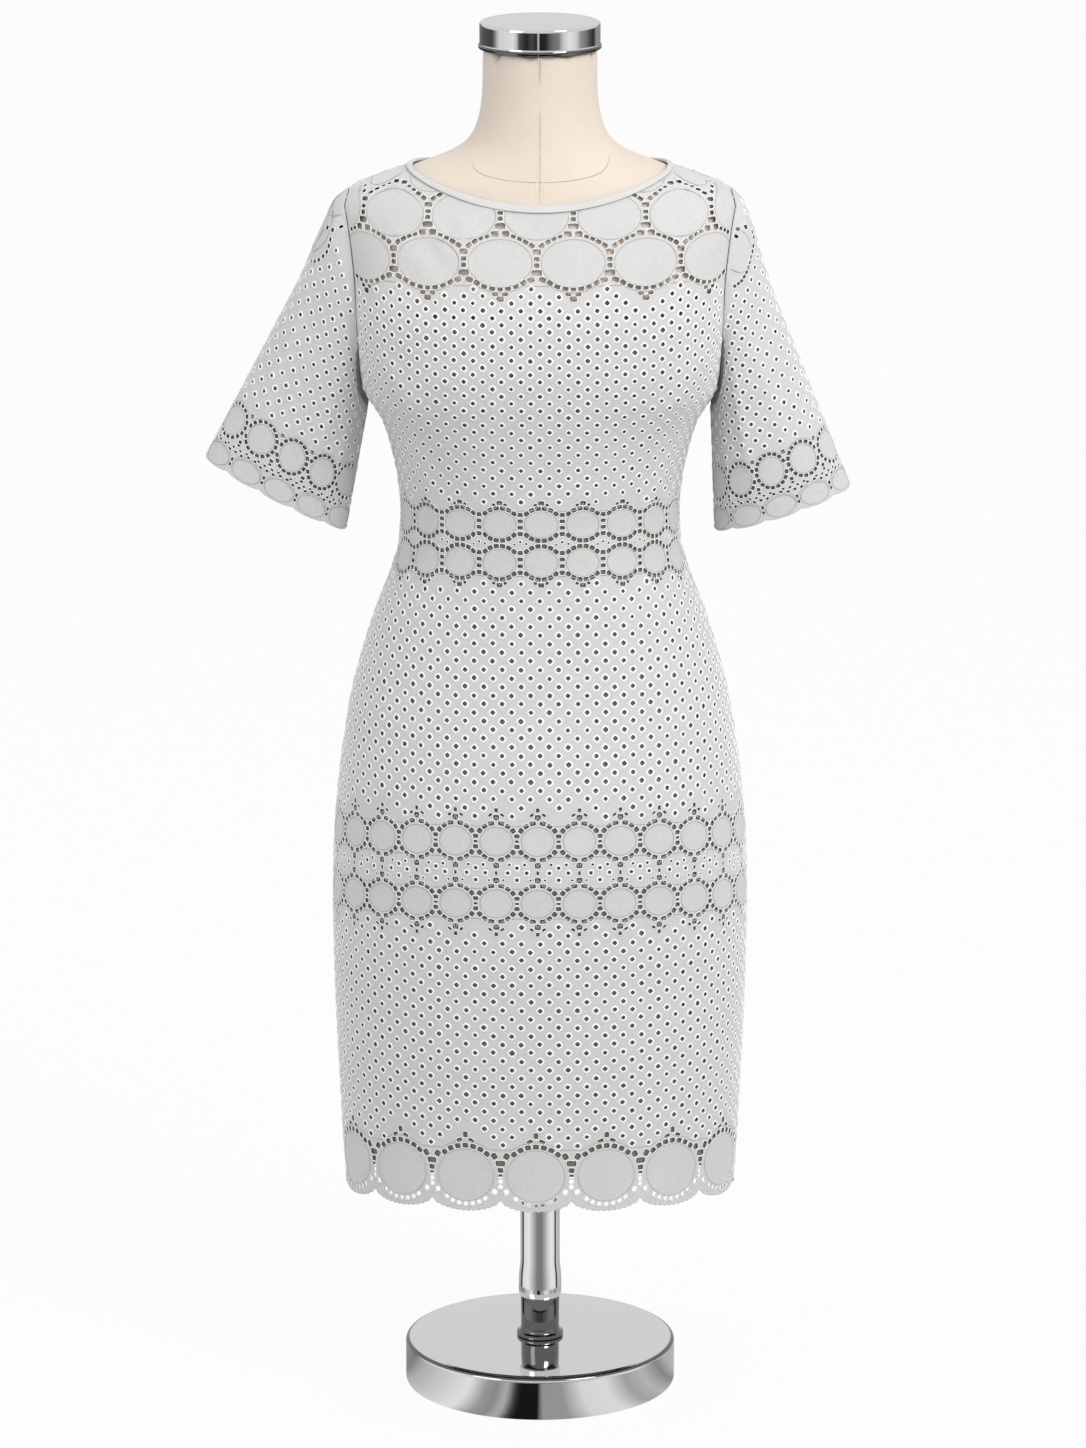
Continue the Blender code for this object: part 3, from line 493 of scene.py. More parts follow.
def pair(x, y, width, height, turn):
    """A gap at each side, the left one first."""
    return [(-x, y, width, height, -turn), (x, y, width, height, turn)]


HALF_ROUND = 0.26  # no row of cutwork reaches further round from its centre line


def repeat(gaps, pitch, row, phase):
    """The gaps, once for each pitch along a row."""
    count = int(HALF_ROUND / pitch) + 2
    table = np.asarray(gaps, float).reshape(-1, 5)
    return np.concatenate([table + ((k + phase) * pitch, row, 0, 0, 0) for k in range(-count, count + 1)])


# ---------------------------------------------------------------- the cutwork's designs

# A gap is: way round, way up, width, height, turn in radians, from the middle of its disc or of the
# space between two discs. Plain discs: width, height. Row pitches and places, as in the frame.
HEM_DISC, HEM_PITCH, HEM_ROW = (0.0474, 0.0446), 0.0593, 0.2046
HEM_SCALLOP, HEM_EDGE = 0.0115, HEM - 0.0008
PICOT_DEPTH, PICOT_PITCH = 0.0015, HEM_PITCH / 13
BAND_DISC, BAND_PITCH, BAND_ROWS = (0.0262, 0.0232), 0.0343, (0.4382, 0.4909)
WAIST_DISC, WAIST_ROWS = (0.0264, 0.0230), (0.7243, 0.7580)
CHEST_DISC, CHEST_PITCH, CHEST_HEIGHT, CHEST_STEP = (0.0512, 0.0388), 0.0593, 0.9863, 0.0393
CUFF_DISC, CUFF_ROW = (0.0258, 0.0165), 0.0102
ARM_DISC, ARM_ROW = (0.0230, 0.0236), 0.0416
# The rows sit a little off the centre line, as cut: at the hem, band, waist and chest.
HEM_SHIFT, BAND_SHIFT, WAIST_SHIFT, CHEST_SHIFT = -0.0034, -0.0018, 0.0010, -0.0026

HEM_RING = ring(HEM_DISC, 0.0034, 47.5, 132.5, 7, (0.0050, 0.0046)) + ring(
    HEM_DISC, 0.0034, -141, -39, 9, (0.0035, 0.0030)
)
HEM_CLUSTER = [(0, 0.0352, 0.0040, 0.0052, 0), *pair(0.0052, 0.0300, 0.0052, 0.0034, -0.5)]
HEM_CUSP = [
    *pair(0.0052, 0.0172, 0.0050, 0.0058, -0.5),
    (0, 0.0110, 0.0082, 0.0052, 0),
    (0, 0.0050, 0.0049, 0.0044, 0),
    (0, -0.0002, 0.0036, 0.0036, 0),
    (0, -0.0050, 0.0034, 0.0034, 0),
    (0, -0.0096, 0.0034, 0.0032, 0),
    *pair(0.0050, -0.0141, 0.0038, 0.0040, 0.4),
]
BAND_SIDE = [
    (0.0042, 0.0151, 0.0052, 0.0037, -0.22),
    (0.0096, 0.0126, 0.0045, 0.0037, -0.60),
    (0.0138, 0.0090, 0.0044, 0.0042, -0.95),
]
BAND_HALF = BAND_SIDE + mirrored(BAND_SIDE) + [(0, 0.0200, 0.0050, 0.0048, 0)]
BAND_RING = BAND_HALF + mirrored(BAND_HALF, 1, -1)
BAND_CUSP = [
    (0, 0.0045, 0.0044, 0.0034, 0),
    (0, 0.0001, 0.0032, 0.0019, 0),
    (0, -0.0043, 0.0044, 0.0036, 0),
]
BAND_SLIT = [(0, 0, 0.0020, 0.0032, 0)]
BAND_DIAMOND = [  # eyelets between the two rows: way round, way up, size
    (-0.0076, 0.0, 0.0030),
    (0.0080, 0.0, 0.0030),
    (0, 0.0042, 0.0030),
    (0, -0.0060, 0.0030),
    (-0.0062, 0.0070, 0.0022),
    (0.0063, 0.0070, 0.0024),
    (-0.0112, -0.0062, 0.0018),
    (0.0112, -0.0062, 0.0018),
]
BAND_TIP = [(0, 0.0262, 0.0030, 0.0034, 0), *pair(0.0050, 0.0222, 0.0034, 0.0020, -0.6)]
WAIST_DOTS = [(0, 0.0012, 0.0020), (-0.0048, -0.0010, 0.0016), (0.0050, -0.0004, 0.0018)]
WAIST_HALF = ring(WAIST_DISC, 0.0030, 42, 138, 6, (0.0046, 0.0038))
WAIST_RING = WAIST_HALF + mirrored(WAIST_HALF, 1, -1)
WAIST_CUSP = [
    (0, 0.0086, 0.0046, 0.0036, 0),
    (0, 0.0029, 0.0044, 0.0032, 0),
    (0, -0.0029, 0.0044, 0.0032, 0),
    (0, -0.0086, 0.0046, 0.0036, 0),
]
WAIST_CLUSTER = [(0, 0.0192, 0.0048, 0.0038, 0), *pair(0.0048, 0.0176, 0.0026, 0.0022, -0.4)]
CHEST_TOP_SIDE = [
    (0.0044, 0.0244, 0.0064, 0.0052, 0),
    (0.0106, 0.0222, 0.0042, 0.0030, -0.35),
    (0.0156, 0.0202, 0.0042, 0.0031, -0.45),
    (0.0205, 0.0176, 0.0052, 0.0039, -0.55),
    (0.0254, 0.0146, 0.0052, 0.0041, -0.65),
]
CHEST_TOP = CHEST_TOP_SIDE + mirrored(CHEST_TOP_SIDE)
CHEST_FOOT_SIDE = [
    (0.0064, -0.0211, 0.0050, 0.0034, 0.14),
    (0.0130, -0.0194, 0.0050, 0.0034, 0.35),
    (0.0190, -0.0164, 0.0053, 0.0042, 0.65),
    (0.0040, -0.0253, 0.0048, 0.0033, 0),
]
CHEST_FOOT = CHEST_FOOT_SIDE + mirrored(CHEST_FOOT_SIDE) + [
    (0, -0.0216, 0.0044, 0.0031, 0),
    (0, -0.0294, 0.0060, 0.0044, 0),
]
CHEST_STACK = [
    (0, 0.0093, 0.0069, 0.0050, 0),
    (0, 0.0032, 0.0046, 0.0038, 0),
    (0, -0.0020, 0.0043, 0.0040, 0),
    (0, -0.0083, 0.0090, 0.0054, 0),
]
CHEST_FLANKS = pair(0.0046, -0.0138, 0.0063, 0.0044, -0.35)
ARM_RING = ring(ARM_DISC, 0.0027, 0, 340, 18, (0.0037, 0.0030))
ARM_CUSP = [(0, 0.0122, 0.0034, 0.0032, 0), (0, -0.0122, 0.0030, 0.0030, 0)]
CUFF_RING = ring(CUFF_DISC, 0.0036, 28, 152, 6, (0.0026, 0.0020))
CUFF_CUSP = [(0, 0.0030, 0.0026, 0.0032, 0), (0, -0.0014, 0.0022, 0.0026, 0)]
CUFF_FILL = [
    (0, 0.0262, 0.0024, 0.0022, 0),
    *pair(0.0036, 0.0230, 0.0022, 0.0018, -0.5),
    (0, 0.0200, 0.0026, 0.0022, 0),
    *pair(0.0056, 0.0205, 0.0018, 0.0016, -0.4),
]
CUFF_FILL_MIDDLE = pair(0.0060, 0.0236, 0.0022, 0.0017, -0.3)

# Ends of the chest's rows on a sleeve's head: way round from its top line, and down from the head.
# A disc has its width and height as well, and an arc of gaps has its points, their spacing and size.
HEAD_DISCS_RIGHT = ((0.044, 0.003, 0.032, 0.040),)
HEAD_ARCS_RIGHT = (
    (((0.036, 0.0042), (0.030, 0.0055), (0.0255, 0.0110)), 0.0054, (0.0042, 0.0036)),
    (((0.0225, 0.0160), (0.0205, 0.0215), (0.021, 0.0260)), 0.0050, (0.0030, 0.0030)),
    (
        ((0.025, 0.0285), (0.036, 0.0295), (0.044, 0.026), (0.051, 0.021), (0.060, 0.011)),
        0.0050, (0.0034, 0.0028),
    ),
)
HEAD_DISCS_LEFT = ((0.012, 0.004, 0.026, 0.026), (0.005, 0.035, 0.040, 0.042))
HEAD_ARCS_LEFT = (
    (((0.030, 0.0045), (0.027, 0.012), (0.021, 0.018)), 0.0052, (0.0038, 0.0034)),
    (
        ((0.029, 0.018), (0.031, 0.026), (0.029, 0.034), (0.025, 0.044), (0.013, 0.060)),
        0.0052, (0.0034, 0.0030),
    ),
)


class Design:
    """What is cut and stitched on one cloth piece: its gaps, its plain discs and its bare zones."""

    def __init__(self):
        self.gaps, self.eyelets, self.discs, self.bare, self.lines = [], [], [], [], []
        self.eyelet_sizes = ((0.0, 0.80), (1.0, 0.80))

    def row(self, gaps, pitch, row, phase):
        """Cutwork repeated along a row."""
        self.gaps.append(repeat(gaps, pitch, row, phase))

    def dots(self, spots, pitch, row, phase):
        """Small eyelets with wide rims among the cutwork: way, up and hole size."""
        table = [(way, up, size, size, 0) for way, up, size in spots]
        self.eyelets.append(repeat(table, pitch, row, phase))

    def disc_row(self, disc, pitch, row, phase):
        """Plain discs repeated along a row."""
        self.discs.append(repeat([(0, 0, *disc, 0)], pitch, row, phase))

    def arc(self, path, spacing, size):
        """Gaps spaced evenly along a curve through these points."""
        path = np.array(path)
        along = np.concatenate([[0], np.cumsum(np.linalg.norm(np.diff(path, axis=0), axis=1))])
        at = np.linspace(0, along[-1], max(2, round(along[-1] / spacing) + 1))
        spots = np.stack([smooth(along, path[:, 0], at), smooth(along, path[:, 1], at)], axis=1)
        ahead = np.gradient(spots, axis=0)
        turns = np.arctan2(ahead[:, 1], ahead[:, 0])
        sizes = np.broadcast_to(size, spots.shape)
        self.gaps.append(np.concatenate([spots, sizes, turns[:, None]], axis=1))

    def wavy(self, disc, pitch, row, phase, clear, least, sign):
        """A scalloped line that follows a row's gaps, above it or below it."""
        ways = np.arange(-HALF_ROUND, HALF_ROUND, 0.0016)
        across = (ways / pitch - phase - np.round(ways / pitch - phase)) * pitch
        bow = np.sqrt(np.clip(1 - (across / (disc[0] / 2 + clear)) ** 2, 0, 1)) * (disc[1] / 2 + clear)
        self.lines.append(np.stack([ways, row + sign * np.maximum(bow, least)], axis=1))

    def arches(self, pitch, row, phase, near, depth, sign):
        """A line of arches that are nearest to a row between its discs."""
        ways = np.arange(-HALF_ROUND, HALF_ROUND, 0.0012)
        across = 2 * np.abs(ways / pitch - phase - np.round(ways / pitch - phase))
        rise = near + depth * (1 - np.sqrt(np.clip(1 - across**2.4, 0, 1)))
        self.lines.append(np.stack([ways, row + sign * rise], axis=1))


def panel_design(cloth):
    """The rows of cutwork on the front, or on a back whose centre seam runs between discs."""
    design = Design()
    design.eyelet_sizes = ((0.64, 0.98), (0.76, 0.84), (0.96, 0.90))
    back = cloth.quarter.behind
    half = 0.5 if back else 0.0
    hem, band, waist, chest = (
        half + (0 if back else shift / pitch)
        for shift, pitch in (
            (HEM_SHIFT, HEM_PITCH),
            (BAND_SHIFT, BAND_PITCH),
            (WAIST_SHIFT, BAND_PITCH),
            (CHEST_SHIFT, CHEST_PITCH),
        )
    )
    design.disc_row(HEM_DISC, HEM_PITCH, HEM_ROW, hem)
    design.row(HEM_CUSP, HEM_PITCH, HEM_ROW, hem + 0.5)
    design.row(HEM_RING + HEM_CLUSTER, HEM_PITCH, HEM_ROW, hem)
    design.wavy(HEM_DISC, HEM_PITCH, HEM_ROW, hem, clear=0.0072, least=0.0228, sign=1)
    for row, side in zip(BAND_ROWS, (-1, 1)):
        design.disc_row(BAND_DISC, BAND_PITCH, row, band)
        design.row(BAND_RING, BAND_PITCH, row, band)
        design.row(BAND_CUSP, BAND_PITCH, row, band + 0.5)
        design.row(mirrored(BAND_TIP, 1, side), BAND_PITCH, row, band)
        for sign in (-1, 1):
            design.arches(BAND_PITCH, row, band + 0.5, near=0.0128, depth=0.0100, sign=sign)
    middle = sum(BAND_ROWS) / 2
    design.dots(BAND_DIAMOND, BAND_PITCH, middle, band + 0.5)
    design.row(BAND_SLIT, BAND_PITCH, middle, band)
    design.bare.append(BAND_ROWS)
    for row, side in zip(WAIST_ROWS, (-1, 1)):
        design.disc_row(WAIST_DISC, BAND_PITCH, row, waist)
        design.row(WAIST_CUSP, BAND_PITCH, row, waist + 0.5)
        design.row(WAIST_RING + mirrored(WAIST_CLUSTER, 1, side), BAND_PITCH, row, waist)
        design.arches(BAND_PITCH, row, waist + 0.5, near=0.0116, depth=0.0086, sign=side)
    middle = sum(WAIST_ROWS) / 2
    design.dots(WAIST_DOTS, BAND_PITCH, middle, waist + 0.5)
    design.bare.append(WAIST_ROWS)
    low = cloth.row(CHEST_HEIGHT)
    design.disc_row(CHEST_DISC, CHEST_PITCH, low, chest + 0.5)
    design.row(CHEST_STACK + CHEST_FLANKS, CHEST_PITCH, low, chest)
    design.row(CHEST_TOP + CHEST_FOOT, CHEST_PITCH, low, chest + 0.5)
    design.wavy(CHEST_DISC, CHEST_PITCH, low, chest + 0.5, clear=0.0048, least=0.0189, sign=-1)
    for step in (1, 2):
        row, phase = low + step * CHEST_STEP, chest + 0.5 * (step - 1)
        design.disc_row(CHEST_DISC, CHEST_PITCH, row, phase)
        design.row(CHEST_STACK, CHEST_PITCH, row, phase + 0.5)
        design.row(CHEST_TOP, CHEST_PITCH, row, phase)
    design.bare.append((low, math.inf))
    return design


def sleeve_design(cloth):
    """Two rows of discs at the cuff, and the ends of the chest's rows on the sleeve's head."""
    design = Design()
    design.disc_row(CUFF_DISC, CUFF_PITCH, CUFF_ROW, 0.5)
    design.row(CUFF_CUSP, CUFF_PITCH, CUFF_ROW, 0)
    design.row(CUFF_RING, CUFF_PITCH, CUFF_ROW, 0.5)
    for clear in (0.0004, 0.0022):
        design.wavy(CUFF_DISC, CUFF_PITCH, CUFF_ROW, 0.5, clear, least=0.0, sign=1)
    design.disc_row(ARM_DISC, CUFF_PITCH, ARM_ROW, 0.5)
    design.row(ARM_RING, CUFF_PITCH, ARM_ROW, 0.5)
    design.row(ARM_CUSP, CUFF_PITCH, ARM_ROW, 0)
    design.row(CUFF_FILL, CUFF_PITCH, 0, 0)
    design.row(CUFF_FILL_MIDDLE, CUFF_PITCH, 0, 0.5)
    design.wavy(ARM_DISC, CUFF_PITCH, ARM_ROW, 0.5, clear=0.0050, least=0.0120, sign=1)
    discs, arcs = HEAD_DISCS_LEFT, HEAD_ARCS_LEFT
    if cloth.sign > 0:
        discs, arcs = HEAD_DISCS_RIGHT, HEAD_ARCS_RIGHT
    for side in (1, -1):
        for way, down, width, height in discs:
            up = cloth.length(way * side) - down
            design.discs.append(np.array([(way * side, up, width, height, 0)]))
        for path, spacing, size in arcs:
            path = np.array(path) * (side, 1)
            path[:, 1] = cloth.length(path[:, 0]) - path[:, 1]
            design.arc(path, spacing, size)
    return design


CLOSER_FROM, CLOSER_OVER = 0.80, 0.15  # the lattice draws closer from here up, over this much


def lattice(low, high, reach, eyelets):
    """Places of the small eyelets: staggered rows that lie closer towards the chest."""
    rows, row = [], low
    while row < high:
        rows.append(row)
        closer = ease((row - CLOSER_FROM) / CLOSER_OVER)
        row += eyelets.row_pitch * (1 - closer) + eyelets.chest_row_pitch * closer
    count = int(reach / eyelets.column_pitch) + 2
    ways = np.arange(-count, count + 1) * eyelets.column_pitch
    return np.array([
        (way + (i % 2) * eyelets.column_pitch / 2, row) for i, row in enumerate(rows) for way in ways
    ])


# ---------------------------------------------------------------- outlines of the cloth pieces


SEAM_STEP = 0.008  # from one point of a straight seam to the next
SIDE_SEAM_STARTS, CENTRE_SEAM_ENDS = HEM + 0.012, HEM + 0.014


def half_outline(cloth):
    """The seam side of half a panel, from the hem's side corner up to the neckline's middle."""
    quarter, middle = cloth.quarter, cloth.middle
    heights = np.concatenate([np.arange(SIDE_SEAM_STARTS, ARMPIT - SEAM_STEP / 2, SEAM_STEP), [ARMPIT]])
    points = [(quarter.length(h) - SEAM_GAP / 2, h) for h in heights]
    in_from_side, height = armhole(np.linspace(0.5, 0, 46)[1:-1])
    points += [(quarter.length(h) - w - SEAM_GAP / 2, h) for w, h in zip(in_from_side, height)]
    shoulder = np.linspace(SHOULDER_TIP, NECK_SIDE, 10)
    points += [(quarter.length(h) - SEAM_GAP / 2, h) for h in shoulder]
    width = quarter.length(NECK_SIDE)
    points += [(share * width, neckline(share, middle)) for share in np.linspace(1, 0, 41)[1:]]
    points = np.array(points)
    points[:, 1] = cloth.row(points[:, 1])
    return points


def hem_line(low, high, phase):
    """Points along the scalloped hem with its fine picot waves, from one side to the other."""
    ways = np.linspace(low, high, int((high - low) / 0.0014) + 1)
    edge = HEM_EDGE + scallop(ways - phase * HEM_PITCH, HEM_PITCH, HEM_SCALLOP)
    picot = PICOT_DEPTH * np.abs(np.sin(math.pi * (ways - phase * HEM_PITCH) / PICOT_PITCH))
    return np.stack([ways, edge - picot], axis=1)


def front_outline(cloth):
    """The front's outline, and how many of its points are the hem's."""
    side = half_outline(cloth)
    low = cloth.quarter.length(HEM) - SEAM_GAP / 2
    hem = hem_line(-low, low, HEM_SHIFT / HEM_PITCH)
    return np.concatenate([hem, side, (side * (-1, 1))[::-1][1:]]), len(hem)


def back_outline(cloth, sign):
    """One back's outline, and how many of its points are the hem's."""
    side = half_outline(cloth)
    low = cloth.quarter.length(HEM) - SEAM_GAP / 2
    hem = hem_line(SEAM_GAP / 2, low, 0.5)
    side[-1, 0] = SEAM_GAP / 2
    rows = np.arange(side[-1, 1] - SEAM_STEP, CENTRE_SEAM_ENDS, -SEAM_STEP)
    centre = [(SEAM_GAP / 2, row) for row in rows]
    return np.concatenate([hem, side, centre]) * (sign, 1), len(hem)


def sleeve_outline(cloth):
    """A sleeve's outline, and how many of its points are the cuff's."""
    half = CUFF_GIRTH / 2 - SEAM_GAP / 4
    ways = np.linspace(-half, half, 217)
    cuff = np.stack([ways, scallop(ways - CUFF_PITCH / 2, CUFF_PITCH, CUFF_SCALLOP)], axis=1)
    crown = np.stack([ways, cloth.length(ways)], axis=1)[::-2]
    right = [(half, up) for up in np.arange(cuff[-1, 1] + 0.006, crown[0, 1] - 0.003, 0.006)]
    left = [(-half, up) for _, up in right][::-1]
    return np.concatenate([cuff, right, crown, left]), len(cuff)


LINING_DEPTHS = (-0.0010, -0.0013)  # its two sides, out from the body
LINING_HEM, LINING_TOP = 0.188, 0.958  # heights of a panel's lining
LINING_CUFF, LINING_HEAD = 0.0045, 0.010  # how far a sleeve's lining stops short of cuff and armhole


def panel_lining_outline(cloth, sides):
    """The lining follows the panel's seams between its own hem and the chest's cutwork."""
    seam = half_outline(cloth)
    seam = seam[(seam[:, 1] > cloth.row(LINING_HEM)) & (seam[:, 1] < cloth.row(LINING_TOP))]
    if sides == 2:
        return np.concatenate([seam, (seam * (-1, 1))[::-1]])
    centre = seam * (0, 1) + (SEAM_GAP / 2, 0)
    return np.concatenate([seam, centre[::-1]])


def sleeve_lining_outline(cloth):
    """The sleeve's lining, from just above the cuff's edge to just below the armhole."""
    half = CUFF_GIRTH / 2 - SEAM_GAP / 4
    ways = np.linspace(-half, half, 61)
    low = np.stack([ways, np.full(len(ways), LINING_CUFF)], axis=1)
    high = np.stack([ways, cloth.length(ways) - LINING_HEAD], axis=1)[::-1]
    return np.concatenate([low, high])


# ---------------------------------------------------------------- meshes


def add_mesh(name, points, faces, uvs, materials, smooth_under=40):
    """A new object, with its pattern in metres as a UV map."""
    mesh = bpy.data.meshes.new(name)
    mesh.from_pydata(np.asarray(points).tolist(), [], [tuple(map(int, f)) for f in faces])
    layer = mesh.uv_layers.new(name="Pattern")
    layer.data.foreach_set("uv", np.asarray(uvs, np.float32).ravel())
    mesh.shade_smooth()
    mesh.set_sharp_from_angle(angle=math.radians(smooth_under))
    for material in materials:
        mesh.materials.append(material)
    made = bpy.data.objects.new(name, mesh)
    bpy.context.collection.objects.link(made)
    return made


def cloth_mesh(name, cloth, outline, hem_points, gaps, fill, materials, depths=(CLOTH, 0.0)):
    """The cloth itself: two sheets of the same triangles, joined round every edge and gap."""
    flat, triangles = triangulate(outline, gaps, fill)
    seams = np.concatenate([outline[hem_points - 1 :], outline[:1]])
    near = clearance(seams, flat, closed=False)
    sunk = -SEAM_SINK * (1 - ease(near / SEAM_ROLL))
    outer, inner = (cloth.place(flat, depth + sunk) for depth in depths)
    face_normal = np.cross(
        outer[triangles[:, 1]] - outer[triangles[:, 0]], outer[triangles[:, 2]] - outer[triangles[:, 0]]
    )
    if (face_normal * (outer - inner)[triangles[:, 0]]).sum() < 0:
        triangles = triangles[:, ::-1]
    edges = np.concatenate([triangles[:, [0, 1]], triangles[:, [1, 2]], triangles[:, [2, 0]]])
    known = set(map(tuple, edges.tolist()))
    rim = np.array([(a, b) for a, b in edges.tolist() if (b, a) not in known])
    count = len(flat)
    faces = [*triangles, *(triangles[:, ::-1] + count)]
    faces += list(np.stack([rim[:, 1], rim[:, 0], rim[:, 0] + count, rim[:, 1] + count], axis=1))
    corners = np.concatenate([np.ravel(face) for face in faces]) % count
    made = add_mesh(name, np.concatenate([outer, inner]), faces, flat[corners], materials)
    # The inner sheet and the gaps' walls take the second material, painted dark as shade.
    sides = np.zeros(len(faces), np.int32)
    sides[len(triangles) : 2 * len(triangles)] = 1
    sides[2 * len(triangles) :] = rim.min(axis=1) >= len(outline)
    made.data.polygons.foreach_set("material_index", sides)
    drop_loose(made)
    return made


def drop_loose(made):
    """Deletes points that no face uses."""
    shape = bmesh.new()
    shape.from_mesh(made.data)
    bmesh.ops.delete(shape, geom=[v for v in shape.verts if not v.link_faces], context="VERTS")
    shape.to_mesh(made.data)
    shape.free()


def strips(points, step, closed):
    """Faces and UVs of ribbons: points is (ribbon, station, cross point, 3), step is in metres."""
    ribbons, stations, across = points.shape[:3]
    last = stations if closed else stations - 1
    i, k, j = np.meshgrid(np.arange(ribbons), np.arange(last), np.arange(across - 1), indexing="ij")
    after = (k + 1) % stations
    corner = [(i * stations + s) * across + c for s, c in ((k, j), (after, j), (after, j + 1), (k, j + 1))]
    faces = np.stack(corner, axis=-1).reshape(-1, 4)
    uvs = [
        np.stack([(k + ahead) * step, (j + aside) / (across - 1)], axis=-1)
        for ahead, aside in ((0, 0), (1, 0), (1, 1), (0, 1))
    ]
    return faces, np.stack(uvs, axis=-2).reshape(-1, 2)


# From the edge of a gap out over its rim: share of the rim's width, share of its height, and sink
RIM_PROFILE = ((-0.06, 0, 0.0003), (0.10, 0.75, 0), (0.55, 1, 0), (1.0, 0, 0.0002))
RIM_REACH = 0.95  # a rim is at most this wide, as a share of its gap's half width
RIM_STATION, LINE_STATION, CORD_STATION = 0.0015, 0.0016, 0.001  # lengths that the stitches follow


def rims(cloth, polygons, width, height):
    """Raised stitching round each gap, from inside its edge, over a crest, down to the cloth."""
    middle = polygons.mean(axis=1, keepdims=True)
    scale = stretch(cloth, middle[:, 0])[:, None]
    arm = (polygons - middle) * scale
    reach = np.linalg.norm(arm, axis=2, keepdims=True)
    width = np.minimum(width, RIM_REACH * reach)
    loops = []
    for share, rise, sink in RIM_PROFILE:
        spot = middle + arm * (1 + share * width / reach) / scale
        loops.append(cloth.place(spot, CLOTH + (rise * height - sink)))
    points = np.stack(loops, axis=2)
    faces, uvs = strips(points, RIM_STATION, closed=True)
    return points.reshape(-1, 3), faces, uvs


def raised_line(cloth, path, width, height):
    """A thin raised line of stitching along a path on the flat pattern."""
    scale = stretch(cloth, path)
    ahead = np.gradient(path, axis=0) * scale
    aside = np.stack([-ahead[:, 1], ahead[:, 0]], axis=1) / np.linalg.norm(ahead, axis=1, keepdims=True)
    sides = [
        cloth.place(path + aside * share * width / scale, CLOTH + rise)
        for share, rise in ((-0.5, -LINE_SINK), (0, height), (0.5, -LINE_SINK))
    ]
    points = np.stack(sides, axis=1)[None]
    faces, uvs = strips(points, LINE_STATION, closed=False)
    return points.reshape(-1, 3), faces, uvs


SATIN, OUTLINE, COTTON = 0, 1, 2  # threads, in the order of the embroidery's materials
LINE_OUT = 0.0004  # a disc's stitched outline runs this far outside it
LINE_WIDTH, LINE_HEIGHT = 0.0009, 0.00032
EDGE_LINE_WIDTH, EDGE_LINE_HEIGHT = 0.0018, 0.00050
LINE_SINK = 0.0001  # a line's sides end this far inside the cloth
LINE_FROM_EDGE = 0.0012


def runs(keep):
    """Start and end of each unbroken run of kept points."""
    edges = np.flatnonzero(np.diff(np.concatenate([[0], keep.astype(int), [0]])))
    return [(a, b) for a, b in zip(edges[::2], edges[1::2]) if b - a > 3]


def embroidery_mesh(name, parts):
    """One object from the rims, the lines and the edge. Each part has points, faces, UVs and a thread."""
    points, faces, uvs, threads, count = [], [], [], [], 0
    for part_points, part_faces, part_uvs, thread in parts:
        points.append(part_points)
        faces.append(part_faces + count)
        uvs.append(part_uvs)
        threads.append(np.full(len(part_faces), thread, np.int32))
        count += len(part_points)
    points, faces, uvs = np.concatenate(points), np.concatenate(faces), np.concatenate(uvs)
    made = add_mesh(name, points, faces, uvs, [satin(), shaded_outline_thread(), cotton()], 80)
    made.data.polygons.foreach_set("material_index", np.concatenate(threads))
    return made


GAP_SIDES = 8
CUT_SQUARENESS, EYELET_SQUARENESS = 5.0, 4.0  # 2 is an oval, more is a rounded block
GAP_GROWTH = 0.00025  # cut gaps open by this much once their edges are stitched
GAP_REACH, BAR_WIDTH = 0.012, 0.00025  # gaps nearer than this are compared, and keep this bar between
EDGE_CLEAR, EYELET_EDGE = 0.0012, 0.0034  # from the piece's edge to a cut gap, and to an eyelet
DISC_CLEAR, EYELET_FROM_CUT, EXTRA_FROM_CUT = 0.0056, 0.0058, 0.0022
# How much the eyelets vary in place, in size as a share, and in turn
EYELET_JITTER, EYELET_VARIES, EYELET_TURNS = 0.00022, 0.06, 0.12
PLACE_SEED, SIZE_SEED, TURN_SEED = 7, 11, 5


